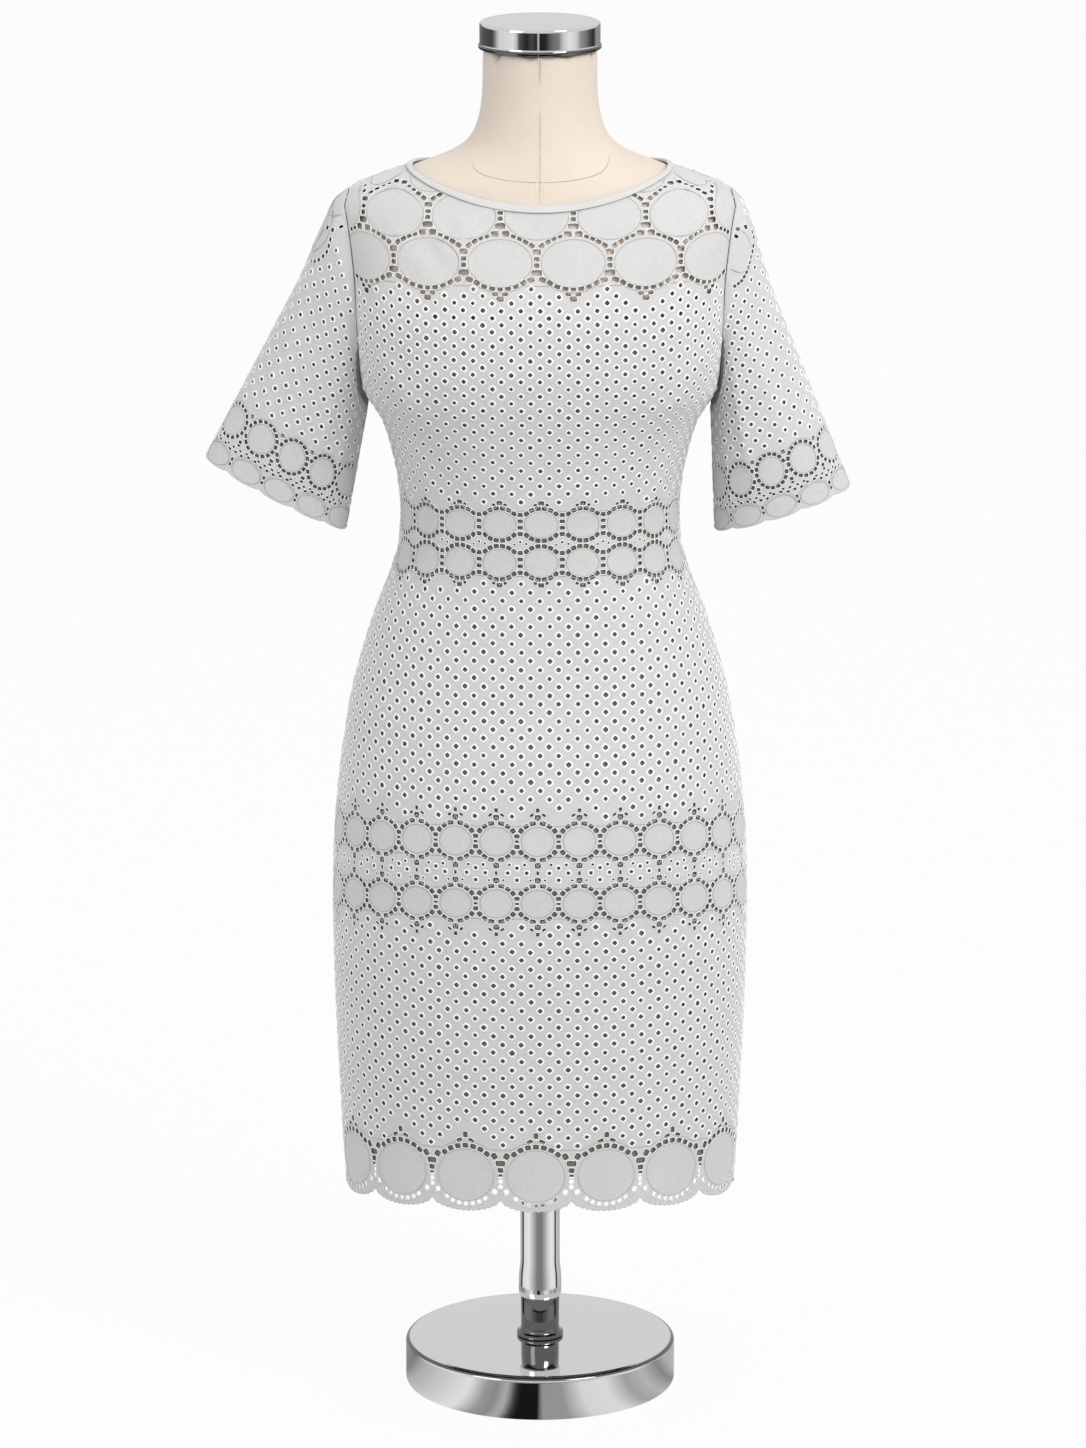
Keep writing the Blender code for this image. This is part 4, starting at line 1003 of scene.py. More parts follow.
def settled(design, cloth, outline, eyelets, low, high, reach):
    """The polygons of the cutwork and of the eyelets that fit on this piece."""
    gaps = np.concatenate(design.gaps) + (0, 0, GAP_GROWTH, GAP_GROWTH, 0)
    gaps = gaps[inside(outline, gaps[:, :2])]
    cut = shaped(gaps, cloth, GAP_SIDES, CUT_SQUARENESS)
    corners = cut.reshape(-1, 2)
    fits = inside(outline, corners) & (clearance(outline, corners) > EDGE_CLEAR)
    fits = fits.reshape(len(cut), -1).all(axis=1)
    gaps, cut = gaps[fits], cut[fits]
    cut = cut[~crowded(gaps)]
    spots = lattice(low, high, reach, eyelets)
    spots = spots + np.random.default_rng(PLACE_SEED).normal(0, EYELET_JITTER, spots.shape)
    spots = spots[inside(outline, spots)]
    keep = clearance(outline, spots) > EYELET_EDGE
    for start, end in design.bare:
        keep &= ~((spots[:, 1] > start) & (spots[:, 1] < end))
    for way, up, width, height, _ in np.concatenate(design.discs):
        offset = (spots - (way, up)) / (width / 2 + DISC_CLEAR, height / 2 + DISC_CLEAR)
        keep &= (offset**2).sum(axis=1) > 1
    keep &= nearest_centre(spots, cut.mean(axis=1)) > EYELET_FROM_CUT
    spots = spots[keep]
    levels, shares = zip(*design.eyelet_sizes)
    sizes = 2 * eyelets.hole_radius * np.interp(spots[:, 1], levels, shares)[:, None]
    sizes = sizes * np.random.default_rng(SIZE_SEED).normal(1, EYELET_VARIES, (len(spots), 1))
    turns = np.random.default_rng(TURN_SEED).normal(math.pi / 4, EYELET_TURNS, (len(spots), 1))
    round_gaps = np.concatenate([spots, sizes, sizes, turns], axis=1)
    if design.eyelets:
        extra = np.concatenate(design.eyelets)
        clear = inside(outline, extra[:, :2])
        extra = extra[clear][clearance(outline, extra[clear, :2]) > EYELET_EDGE]
        extra = extra[nearest_centre(extra[:, :2], gaps[:, :2]) > extra[:, 2] / 2 + EXTRA_FROM_CUT]
        round_gaps = np.concatenate([round_gaps, extra])
    return cut, shaped(round_gaps, cloth, GAP_SIDES, EYELET_SQUARENESS)


def crowded(gaps):
    """Whether each gap reaches one that comes before it and is kept."""
    x, y, width, height, turn = gaps.T
    dropped = np.zeros(len(gaps), bool)
    for i in range(1, len(gaps)):
        near = np.flatnonzero(~dropped[:i] & (np.hypot(x[:i] - x[i], y[:i] - y[i]) < GAP_REACH))
        if not len(near):
            continue
        towards = np.arctan2(y[near] - y[i], x[near] - x[i])
        apart = np.hypot(y[near] - y[i], x[near] - x[i])
        for j in (i, near):
            across, along = np.cos(towards - turn[j]), np.sin(towards - turn[j])
            apart = apart - 1 / np.hypot(2 * across / width[j], 2 * along / height[j])
        dropped[i] = (apart < BAR_WIDTH).any()
    return dropped


# Points in the plain cloth: their spacing, and how far they keep from the outline and from gaps
FILL_STEP, FILL_FROM_EDGE, FILL_FROM_GAP = 0.0085, 0.006, 0.0042
ROW_FROM_EDGE = 0.0009


def fill_points(outline, gaps=()):
    """Points in the plain parts of the cloth, and two rows of them just inside its seams."""
    low, high = outline.min(axis=0), outline.max(axis=0)
    columns, rows = (np.arange(a, b, FILL_STEP) for a, b in zip(low, high))
    grid = np.stack(np.meshgrid(columns, rows), axis=-1).reshape(-1, 2)
    loop = anticlockwise(outline)
    ahead = np.roll(loop, -1, axis=0) - np.roll(loop, 1, axis=0)
    inward = np.stack([-ahead[:, 1], ahead[:, 0]], axis=1) / np.linalg.norm(ahead, axis=1, keepdims=True)
    rows_in = [loop[::2] + inward[::2] * SEAM_ROLL * share for share in (0.45, 1.0)]
    spots = np.concatenate([grid[clearance(outline, grid) > FILL_FROM_EDGE], *rows_in])
    spots = spots[inside(outline, spots)]
    spots = spots[clearance(outline, spots) > ROW_FROM_EDGE]
    if len(gaps):
        spots = spots[nearest_centre(spots, gaps.mean(axis=1)) > FILL_FROM_GAP]
    return spots


def sew(name, cloth, outline, hem_points, design, reach, heights):
    """A cloth piece and the embroidery on it."""
    eyelets = bpy.context.scene.eyelets
    cut, small = settled(design, cloth, outline, eyelets, *heights, reach)
    gaps = np.concatenate([cut, small])
    fill = fill_points(outline, gaps)
    both = [cotton(), shaded_wrong_side()]
    sheet = cloth_mesh(f"{name}_cloth", cloth, outline, hem_points, gaps, fill, both)
    parts = [
        (*rims(cloth, cut, eyelets.cut_rim_width, eyelets.cut_rim_height), SATIN),
        (*rims(cloth, small, eyelets.rim_width, eyelets.rim_height), SATIN),
    ]
    turns = np.linspace(0, 2 * math.pi, 41) % (2 * math.pi)
    circle = np.stack([np.cos(turns), np.sin(turns)], axis=1)
    circles = [
        circle * (width / 2 + LINE_OUT, height / 2 + LINE_OUT) + (way, up)
        for way, up, width, height, _ in np.concatenate(design.discs)
    ]
    for path in circles + design.lines:
        keep = inside(outline, path) & (clearance(outline, path) > LINE_FROM_EDGE)
        for start, end in runs(keep):
            parts.append((*raised_line(cloth, path[start:end], LINE_WIDTH, LINE_HEIGHT), OUTLINE))
    edge = outline[1 : hem_points - 1] + (0, EDGE_LINE_WIDTH / 2)
    parts.append((*raised_line(cloth, edge, EDGE_LINE_WIDTH, EDGE_LINE_HEIGHT), COTTON))
    stitching = embroidery_mesh(f"{name}_embroidery", parts)
    for made in (sheet, stitching):
        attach(made, DRESSED)
    return sheet, stitching


def line_with(name, cloth, outline):
    """The lining of a piece: a plain sheet just inside the cloth."""
    fill = fill_points(outline)
    made = cloth_mesh(name, cloth, outline, 2, [], fill, [lining_cotton()], LINING_DEPTHS)
    made.data.polygons.foreach_set("material_index", np.zeros(len(made.data.polygons), np.int32))
    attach(made, DRESSED)


def declare(sheet, stitching, outline, node):
    """Hides the frame node that the sheet stands for."""
    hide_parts(node)


# ---------------------------------------------------------------- node groups and materials


def new_material(name):
    """A new material, its node tree and its shader."""
    material = bpy.data.materials.new(name)
    material.use_nodes = True
    tree = material.node_tree
    return material, tree, tree.nodes["Principled BSDF"]


def add(tree, kind, inputs=(), **settings):
    """A node with its settings, and its inputs linked or set by name or number."""
    node = tree.nodes.new(kind)
    for key, value in settings.items():
        setattr(node, key, value)
    for key, value in dict(inputs).items():
        if isinstance(value, bpy.types.NodeSocket):
            tree.links.new(value, node.inputs[key])
        else:
            node.inputs[key].default_value = value
    return node


def math_node(tree, operation, first, second=0.0, third=0.0):
    """The result of one sum."""
    inputs = {0: first, 1: second, 2: third}
    return add(tree, "ShaderNodeMath", inputs, operation=operation).outputs[0]


def weave_group():
    """Plain weave: where the threads stand high, and how each thread's shade varies."""
    found = bpy.data.node_groups.get("Plain weave")
    if found:
        return found
    group = bpy.data.node_groups.new("Plain weave", "ShaderNodeTree")
    sockets = group.interface
    sockets.new_socket("Pattern", in_out="INPUT", socket_type="NodeSocketVector")
    pitch = sockets.new_socket("Threads per metre", in_out="INPUT", socket_type="NodeSocketFloat")
    pitch.default_value = 2200.0
    sockets.new_socket("Height", in_out="OUTPUT", socket_type="NodeSocketFloat")
    sockets.new_socket("Shade", in_out="OUTPUT", socket_type="NodeSocketFloat")
    start, end = group.nodes.new("NodeGroupInput"), group.nodes.new("NodeGroupOutput")
    parts = add(group, "ShaderNodeSeparateXYZ", {0: start.outputs[0]})
    waves = []
    for axis in (0, 1):
        turns = math_node(group, "MULTIPLY", parts.outputs[axis], start.outputs[1])
        waves.append(math_node(group, "SINE", math_node(group, "MULTIPLY", turns, math.pi)))
    over = math_node(group, "MULTIPLY", *waves)
    height = math_node(group, "ABSOLUTE", over)
    slub = add(
        group, "ShaderNodeTexNoise", {"Vector": start.outputs[0], "Scale": 260.0, "Detail": 3.0}
    )
    group.links.new(math_node(group, "MULTIPLY_ADD", slub.outputs[0], 0.5, height), end.inputs[0])
    group.links.new(slub.outputs[0], end.inputs[1])
    return group


def mottle_group():
    """Soft clouds of shade at two sizes."""
    found = bpy.data.node_groups.get("Soft mottle")
    if found:
        return found
    group = bpy.data.node_groups.new("Soft mottle", "ShaderNodeTree")
    sockets = group.interface
    sockets.new_socket("Place", in_out="INPUT", socket_type="NodeSocketVector")
    size = sockets.new_socket("Patches per metre", in_out="INPUT", socket_type="NodeSocketFloat")
    size.default_value = 12.0
    sockets.new_socket("Amount", in_out="OUTPUT", socket_type="NodeSocketFloat")
    start, end = group.nodes.new("NodeGroupInput"), group.nodes.new("NodeGroupOutput")
    large = add(
        group,
        "ShaderNodeTexNoise",
        {"Vector": start.outputs[0], "Scale": start.outputs[1], "Detail": 4.0, "Roughness": 0.6},
    )
    fine_scale = math_node(group, "MULTIPLY", start.outputs[1], 7.0)
    fine = add(
        group, "ShaderNodeTexNoise", {"Vector": start.outputs[0], "Scale": fine_scale, "Detail": 2.0}
    )
    both = math_node(group, "MULTIPLY_ADD", fine.outputs[0], 0.35, large.outputs[0])
    group.links.new(math_node(group, "MULTIPLY", both, 0.74), end.inputs[0])
    return group


def woven_threads(tree, pattern, threads):
    """The weave's height and shade."""
    inputs = {"Pattern": pattern, "Threads per metre": threads}
    return add(tree, "ShaderNodeGroup", inputs, node_tree=weave_group()).outputs


def mottled(tree, place, patches):
    """How light the soft clouds are here."""
    inputs = {"Place": place, "Patches per metre": patches}
    return add(tree, "ShaderNodeGroup", inputs, node_tree=mottle_group()).outputs[0]


def ranged(tree, amount, lowest, highest, start=0.3, end=0.7):
    """The amount, spread from one range to another."""
    inputs = {0: amount, 1: start, 2: end, 3: lowest, 4: highest}
    return add(tree, "ShaderNodeMapRange", inputs).outputs[0]


def tinted(tree, colour, amount, darkest, lightest):
    """The colour, darker or lighter with the amount."""
    grey = ranged(tree, amount, darkest, lightest)
    shade = add(tree, "ShaderNodeCombineColor", {0: grey, 1: grey, 2: grey})
    inputs = {0: 1.0, 6: (*colour, 1), 7: shade.outputs[0]}
    return add(tree, "ShaderNodeMix", inputs, data_type="RGBA", blend_type="MULTIPLY").outputs[2]


def object_place(tree):
    """Where a point is on its own piece."""
    return add(tree, "ShaderNodeTexCoord").outputs["Object"]


def bumped(tree, shader, height, distance, strength):
    """Relief too fine to model."""
    bump = add(tree, "ShaderNodeBump", {"Height": height, "Distance": distance, "Strength": strength})
    tree.links.new(bump.outputs[0], shader.inputs["Normal"])


def cotton():
    """Grey cotton lawn, with a plain weave that follows the cut of the cloth."""
    return woven("eyelet_cotton_cloth", bpy.context.scene.cotton.colour)


def shaded_wrong_side():
    """The inside of the cloth and the walls of its gaps, painted much darker than the outside as shade."""
    return woven("eyelet_cotton_inside_painted_shade", bpy.context.scene.cotton.shaded_inside_colour)


def lining_cotton():
    """Thin taupe cotton behind the holes."""
    return woven("taupe_lining", bpy.context.scene.cotton.lining_colour)


def woven(name, colour):
    """Cotton whose weave follows the cut of the cloth."""
    found = bpy.data.materials.get(name)
    if found:
        return found
    material, tree, shader = new_material(name)
    pattern = add(tree, "ShaderNodeUVMap", uv_map="Pattern").outputs[0]
    weave, slub = woven_threads(tree, pattern, bpy.context.scene.cotton.threads)
    clouds = math_node(tree, "MULTIPLY", mottled(tree, pattern, 16.0), 0.5)
    amount = math_node(tree, "MULTIPLY_ADD", slub, 0.5, clouds)
    tree.links.new(tinted(tree, colour, amount, 0.93, 1.05), shader.inputs["Base Color"])
    shader.inputs["Roughness"].default_value = 0.86
    shader.inputs["Sheen Weight"].default_value = 0.25
    shader.inputs["Sheen Roughness"].default_value = 0.5
    shader.inputs["Specular IOR Level"].default_value = 0.3
    bumped(tree, shader, weave, 0.00012, 0.6)
    return material


def satin():
    """White satin stitch, round the holes."""
    return stitched("satin_stitch", bpy.context.scene.cotton.stitch_colour)


def shaded_outline_thread():
    """The outlines' thread, painted darker than the cloth as shade along the raised lines."""
    return stitched("outline_stitch_painted_shade", bpy.context.scene.cotton.outline_shade_colour)


STITCH_PITCH, STITCH_LEAN = 0.00035, 0.0003


def stitched(name, colour):
    """Close stitches side by side, across each rim and line."""
    found = bpy.data.materials.get(name)
    if found:
        return found
    material, tree, shader = new_material(name)
    pattern = add(tree, "ShaderNodeUVMap", uv_map="Pattern").outputs[0]
    parts = add(tree, "ShaderNodeSeparateXYZ", {0: pattern})
    lean = math_node(tree, "MULTIPLY_ADD", parts.outputs[1], STITCH_LEAN, parts.outputs[0])
    thread = math_node(tree, "SINE", math_node(tree, "MULTIPLY", lean, 2 * math.pi / STITCH_PITCH))
    clouds = mottled(tree, object_place(tree), 60.0)
    tree.links.new(tinted(tree, colour, clouds, 0.95, 1.05), shader.inputs["Base Color"])
    shader.inputs["Roughness"].default_value = 0.55
    shader.inputs["Sheen Weight"].default_value = 0.3
    bumped(tree, shader, thread, 0.00008, 0.7)
    return material


def plain_cotton():
    """The bias-cut cotton of the neck binding, smoother than the body of the dress."""
    settings = bpy.context.scene.cotton
    material, tree, shader = new_material("binding_cotton")
    place = object_place(tree)
    turned = add(tree, "ShaderNodeMapping", {0: place, 2: (0.0, math.radians(45), 0.0)})
    weave, _ = woven_threads(tree, turned.outputs[0], settings.threads)
    clouds = mottled(tree, place, 30.0)
    tree.links.new(tinted(tree, settings.colour, clouds, 0.95, 1.03), shader.inputs["Base Color"])
    shader.inputs["Roughness"].default_value = 0.85
    shader.inputs["Sheen Weight"].default_value = 0.25
    bumped(tree, shader, weave, 0.0001, 0.5)
    return material


def cover():
    """The form's cream cotton cover, with faint darker veins where it has been handled."""
    settings = bpy.context.scene.form
    material, tree, shader = new_material("form_cover_cloth")
    place = object_place(tree)
    weave, _ = woven_threads(tree, place, 1800.0)
    inputs = {"Vector": place, "Scale": 16.0, "Detail": 5.0, "Distortion": 1.8}
    ripple = add(tree, "ShaderNodeTexNoise", inputs).outputs[0]
    vein = math_node(tree, "ABSOLUTE", math_node(tree, "SUBTRACT", ripple, 0.5))
    vein = math_node(tree, "MULTIPLY", ranged(tree, vein, 0.35, 0.5, 0.0, 0.03), 0.55)
    amount = math_node(tree, "MULTIPLY_ADD", mottled(tree, place, 14.0), 0.5, vein)
    tree.links.new(tinted(tree, settings.cover_colour, amount, 0.93, 1.03), shader.inputs["Base Color"])
    shader.inputs["Roughness"].default_value = 0.72
    shader.inputs["Sheen Weight"].default_value = 0.15
    bumped(tree, shader, weave, 0.00008, 0.5)
    return material


def thread_material(name, colour):
    """Sewing thread, and the folds beside the cover's seams, whose lighter colour is a painted highlight."""
    material, tree, shader = new_material(name)
    clouds = mottled(tree, object_place(tree), 120.0)
    tree.links.new(tinted(tree, colour, clouds, 0.85, 1.08), shader.inputs["Base Color"])
    shader.inputs["Roughness"].default_value = 0.7
    return material


def metal(name, colour, roughness, haze):
    """Polished plate with a faint haze and fine wiping marks."""
    found = bpy.data.materials.get(name)
    if found:
        return found
    material, tree, shader = new_material(name)
    clouds = mottled(tree, object_place(tree), 9.0)
    rough = ranged(tree, clouds, roughness, roughness + haze)
    tree.links.new(rough, shader.inputs["Roughness"])
    tree.links.new(tinted(tree, colour, clouds, 0.98, 1.0), shader.inputs["Base Color"])
    shader.inputs["Metallic"].default_value = 1.0
    return material


CHROME_HAZE = 0.03


def chrome():
    """The polished chrome of the cap, the pole and the base."""
    settings = bpy.context.scene.metals
    return metal("polished_chrome_plate", settings.chrome_colour, settings.chrome_roughness, CHROME_HAZE)


def painted_reflection_chrome():
    """Chrome painted dark on the collar and on the turned edges: painted dark reflections of the
    surroundings.
    """
    settings = bpy.context.scene.metals
    return metal("chrome_painted_dark_reflection", settings.collar_painted_reflection_colour, settings.chrome_roughness, CHROME_HAZE)


def nickel():
    """The duller plate of the zip."""
    return metal("nickel_zip", (0.66, 0.65, 0.63), 0.22, 0.08)


# ---------------------------------------------------------------- settings


class CottonSettings(bpy.types.PropertyGroup):
    """Colours of the cloth, the lining and the threads"""

    colour: FloatVectorProperty(
        name="Cloth colour", description="Colour of the cotton", subtype="COLOR", size=3,
        default=(0.53, 0.53, 0.525), min=0, max=1,
    )
    # The wrong side is painted much darker than the cloth: painted shade inside the dress.
    shaded_inside_colour: FloatVectorProperty(
        name="Inside colour", description="Colour of the cotton's wrong side", subtype="COLOR",
        size=3, default=(0.20, 0.187, 0.172), min=0, max=1,
    )
    stitch_colour: FloatVectorProperty(
        name="Stitch colour", description="Colour of the embroidery thread", subtype="COLOR", size=3,
        default=(0.86, 0.86, 0.85), min=0, max=1,
    )
    # Darker than the cloth: painted shade along the raised outlines.
    outline_shade_colour: FloatVectorProperty(
        name="Outline colour", description="Colour of the outlines' thread", subtype="COLOR", size=3,
        default=(0.37, 0.37, 0.365), min=0, max=1,
    )
    lining_colour: FloatVectorProperty(
        name="Lining colour", description="Colour of the lining behind the holes", subtype="COLOR",
        size=3, default=(0.205, 0.19, 0.175), min=0, max=1,
    )
    threads: FloatProperty(
        name="Threads per metre", description="How fine the plain weave is", default=2400.0, min=200,
    )


class EyeletSettings(bpy.types.PropertyGroup):
    """Sizes of the eyelets and of the stitching round the holes"""

    column_pitch: FloatProperty(
        name="Column pitch", description="Way round from one column of eyelets to the next",
        default=0.0155, unit="LENGTH",
    )
    row_pitch: FloatProperty(
        name="Row pitch", description="Way up from one staggered row to the next", default=0.0072,
        unit="LENGTH",
    )
    chest_row_pitch: FloatProperty(
        name="Chest row pitch", description="The same on the upper chest", default=0.00585,
        unit="LENGTH",
    )
    hole_radius: FloatProperty(
        name="Hole radius", description="Radius of a small eyelet's hole", default=0.0019,
        unit="LENGTH",
    )
    rim_width: FloatProperty(
        name="Rim width", description="Width of the stitching round an eyelet", default=0.0017,
        unit="LENGTH",
    )
    rim_height: FloatProperty(
        name="Rim height", description="How far that stitching stands up", default=0.00055,
        unit="LENGTH",
    )
    cut_rim_width: FloatProperty(
        name="Cutwork rim width", description="Width of the stitching round a cut gap",
        default=0.00065, unit="LENGTH",
    )
    cut_rim_height: FloatProperty(
        name="Cutwork rim height", description="How far that stitching stands up", default=0.00040,
        unit="LENGTH",
    )


class FormSettings(bpy.types.PropertyGroup):
    """Colours and smoothness of the form's cover"""

    cover_colour: FloatVectorProperty(
        name="Cover colour", description="Colour of the form's cotton cover", subtype="COLOR",
        size=3, default=(0.62, 0.54, 0.46), min=0, max=1,
    )
    seam_colour: FloatVectorProperty(
        name="Seam colour", description="Colour of the cover's seam thread", subtype="COLOR",
        size=3, default=(0.52, 0.41, 0.31), min=0, max=1,
    )
    round_off: IntProperty(
        name="Smoothing", description="Subdivision of the form's surface", default=2, min=1, max=3,
    )


class MetalSettings(bpy.types.PropertyGroup):
    """Finish of the stand and the cap"""

    chrome_colour: FloatVectorProperty(
        name="Chrome colour", description="Tint of the chrome's reflections", subtype="COLOR",
        size=3, default=(0.82, 0.82, 0.825), min=0, max=1,
    )
    # The collar's colour is a painted dark reflection, not a darker metal.
    collar_painted_reflection_colour: FloatVectorProperty(
        name="Collar colour", description="Colour of the darker chrome collar", subtype="COLOR", size=3,
        default=(0.16, 0.16, 0.165), min=0, max=1,
    )
    chrome_roughness: FloatProperty(
        name="Chrome roughness", description="0 is a mirror", default=0.03, min=0, max=1,
    )
    sides: IntProperty(
        name="Sides", description="Sides of a turned piece", default=128, min=24, max=256,
    )


class StudioSettings(bpy.types.PropertyGroup):
    """The floor and the lights"""

    floor_colour: FloatVectorProperty(
        name="Floor colour", description="Colour of the plain floor", subtype="COLOR", size=3,
        default=(0.56, 0.56, 0.56), min=0, max=1,
    )
    key_power: FloatProperty(
        name="Key light", description="Power of the large light at the right", default=76.0,
        min=0, unit="POWER",
    )
    fill_power: FloatProperty(
        name="Fill light", description="Power of the large light at the left", default=26.0,
        min=0, unit="POWER",
    )
    sky: FloatProperty(
        name="Surrounding light", description="Strength of the even light all round", default=1.045,
        min=0,
    )


# ---------------------------------------------------------------- operators for the dress

# How far the lattice of eyelets is laid out: round from the centre line, and up from its first row
FRONT_REACH, BACK_REACH, SLEEVE_REACH = 0.25, 0.26, 0.16
BODY_LATTICE, SLEEVE_LATTICE = 0.2022, (0.0490, 0.26)


class DressFront(bpy.types.Operator):
    """Makes the front panel with its eyelets, cutwork and embroidery"""

    bl_idname = "dress.front"
    bl_label = "Front panel"

    def execute(self, context):
        cloth = PanelCloth(FRONT, NECK_FRONT)
        outline, hem_points = front_outline(cloth)
        rows = (BODY_LATTICE, outline[:, 1].max())
        made = sew("front", cloth, outline, hem_points, panel_design(cloth), FRONT_REACH, rows)
        declare(*made, outline, "dress_front")
        line_with("front_lining", cloth, panel_lining_outline(cloth, 2))
        return {"FINISHED"}


class DressBacks(bpy.types.Operator):
    """Makes the two back panels, which meet at the centre-back seam"""

    bl_idname = "dress.backs"
    bl_label = "Back panels"

    def execute(self, context):
        cloth = PanelCloth(BACK, NECK_BACK)
        for side, sign in (("left", -1), ("right", 1)):
            outline, hem_points = back_outline(cloth, sign)
            rows = (BODY_LATTICE, outline[:, 1].max())
            design = panel_design(cloth)
            made = sew(f"back_{side}", cloth, outline, hem_points, design, BACK_REACH, rows)
            declare(*made, outline, f"dress_back_{side}")
            line_with(f"back_{side}_lining", cloth, panel_lining_outline(cloth, 1) * (sign, 1))
        return {"FINISHED"}


class DressSleeves(bpy.types.Operator):
    """Makes the two short sleeves with their scalloped cuffs"""

    bl_idname = "dress.sleeves"
    bl_label = "Sleeves"

    def execute(self, context):
        for name, sign, outer, inner in SLEEVES:
            cloth = SleeveCloth(sign, outer, inner)
            outline, hem_points = sleeve_outline(cloth)
            design = sleeve_design(cloth)
            made = sew(name, cloth, outline, hem_points, design, SLEEVE_REACH, SLEEVE_LATTICE)
            declare(*made, outline, name)
            line_with(f"{name}_lining", cloth, sleeve_lining_outline(cloth))
        return {"FINISHED"}


def copy_of(node, name):
    """A merged copy of a frame node's mesh, as a new object."""
    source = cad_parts[node]
    mesh = source.data.copy()
    mesh.name = name
    made = bpy.data.objects.new(name, mesh)
    bpy.context.collection.objects.link(made)
    shape = bmesh.new()
    shape.from_mesh(mesh)
    bmesh.ops.remove_doubles(shape, verts=shape.verts, dist=0.00001)
    shape.to_mesh(mesh)
    shape.free()
    mesh.materials.clear()
    return made


def select_only(made):
    """Selects one object and nothing else."""
    bpy.ops.object.select_all(action="DESELECT")
    made.select_set(True)
    bpy.context.view_layer.objects.active = made


def merge_triangles(made, threshold):
    """Turns pairs of triangles that lie nearly flat back into four-sided faces."""
    select_only(made)
    bpy.ops.object.mode_set(mode="EDIT")
    bpy.ops.mesh.select_all(action="SELECT")
    bpy.ops.mesh.tris_convert_to_quads(face_threshold=threshold, shape_threshold=threshold)
    bpy.ops.object.mode_set(mode="OBJECT")


def apply_modifiers(made):
    """Makes every modifier of the object part of its mesh."""
    select_only(made)
    for modifier in list(made.modifiers):
        bpy.ops.object.modifier_apply(modifier=modifier.name)


def subdivide(made, levels):
    """Rounds the mesh by subdivision."""
    modifier = made.modifiers.new("Subdivision", "SUBSURF")
    modifier.levels = modifier.render_levels = levels
    apply_modifiers(made)


def smooth_shade(made, angle):
    """Shades the mesh smooth, apart from edges sharper than this angle in degrees."""
    select_only(made)
    bpy.ops.object.shade_smooth_by_angle(angle=math.radians(angle))
    apply_modifiers(made)


class DressBinding(bpy.types.Operator):
    """Makes the soft folded binding round the neckline"""

    bl_idname = "dress.binding"
    bl_label = "Neck binding"

    def execute(self, context):
        binding = copy_of("neck_binding", "neckline_binding")
        merge_triangles(binding, 3.1)
        subdivide(binding, 2)
        smooth_shade(binding, 60)
        binding.data.materials.append(plain_cotton())
        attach(binding, DRESSED)
        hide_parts("neck_binding")
        return {"FINISHED"}


class DressZip(bpy.types.Operator):
    """Gives the zip's slider and tab their metal"""

    bl_idname = "dress.zip"
    bl_label = "Zip"

    def execute(self, context):
        for node in ("zip_slider", "zip_pull"):
            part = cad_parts[node]
            part.data.materials.clear()
            part.data.materials.append(nickel())
        return {"FINISHED"}


# ---------------------------------------------------------------- operators for the form and stand

# Height, and how far the form's cover lies inside the body's shape there
FORM_CLEARANCES = (
    (0.420, 0.0100),
    (0.500, 0.0060),
    (0.600, 0.0040),
    (0.760, 0.0032),
    (0.900, 0.0028),
    (1.000, 0.0020),
    (1.018, 0.0026),
    (1.034, 0.0026),
    (1.046, 0.0012),
    (1.062, 0.0004),
    (1.075, 0.0000),
)


CENTRE_SEAM = (0.985, 1.1465)  # heights between which the cover's centre seams show
FOLD_TURN = 0.0011 / 0.05  # the folds lie this far round from the seam between them
# Raised lines on the cover: width, height
FOLD_LINE, STITCH_LINE, NECK_LINE = (0.0014, 0.00035), (0.0005, 0.0003), (0.0007, 0.0003)
CORD_SINK = 0.0002


def on_form(turn, height, behind):
    """Points on the form's cover."""
    levels, gaps = (np.array(column) for column in zip(*FORM_CLEARANCES))
    points = ring_point(turn, height, behind)
    return points - outward(points) * smooth(levels, gaps, height)[:, None]


def cord_on_form(name, points, width, height, material):
    """A thin raised line on the form, from points on it."""
    normals = outward(points)
    ahead = np.gradient(points, axis=0)
    aside = np.cross(normals, ahead)
    aside /= np.linalg.norm(aside, axis=1, keepdims=True)
    rows = [
        points + aside * width * share + normals * rise
        for share, rise in ((-0.5, -CORD_SINK), (0, height), (0.5, -CORD_SINK))
    ]
    grid = np.stack(rows, axis=1)[None]
    faces, uvs = strips(grid, CORD_STATION, closed=False)
    made = add_mesh(name, grid.reshape(-1, 3), faces, uvs, [material], 80)
    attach(made, DRESSED)


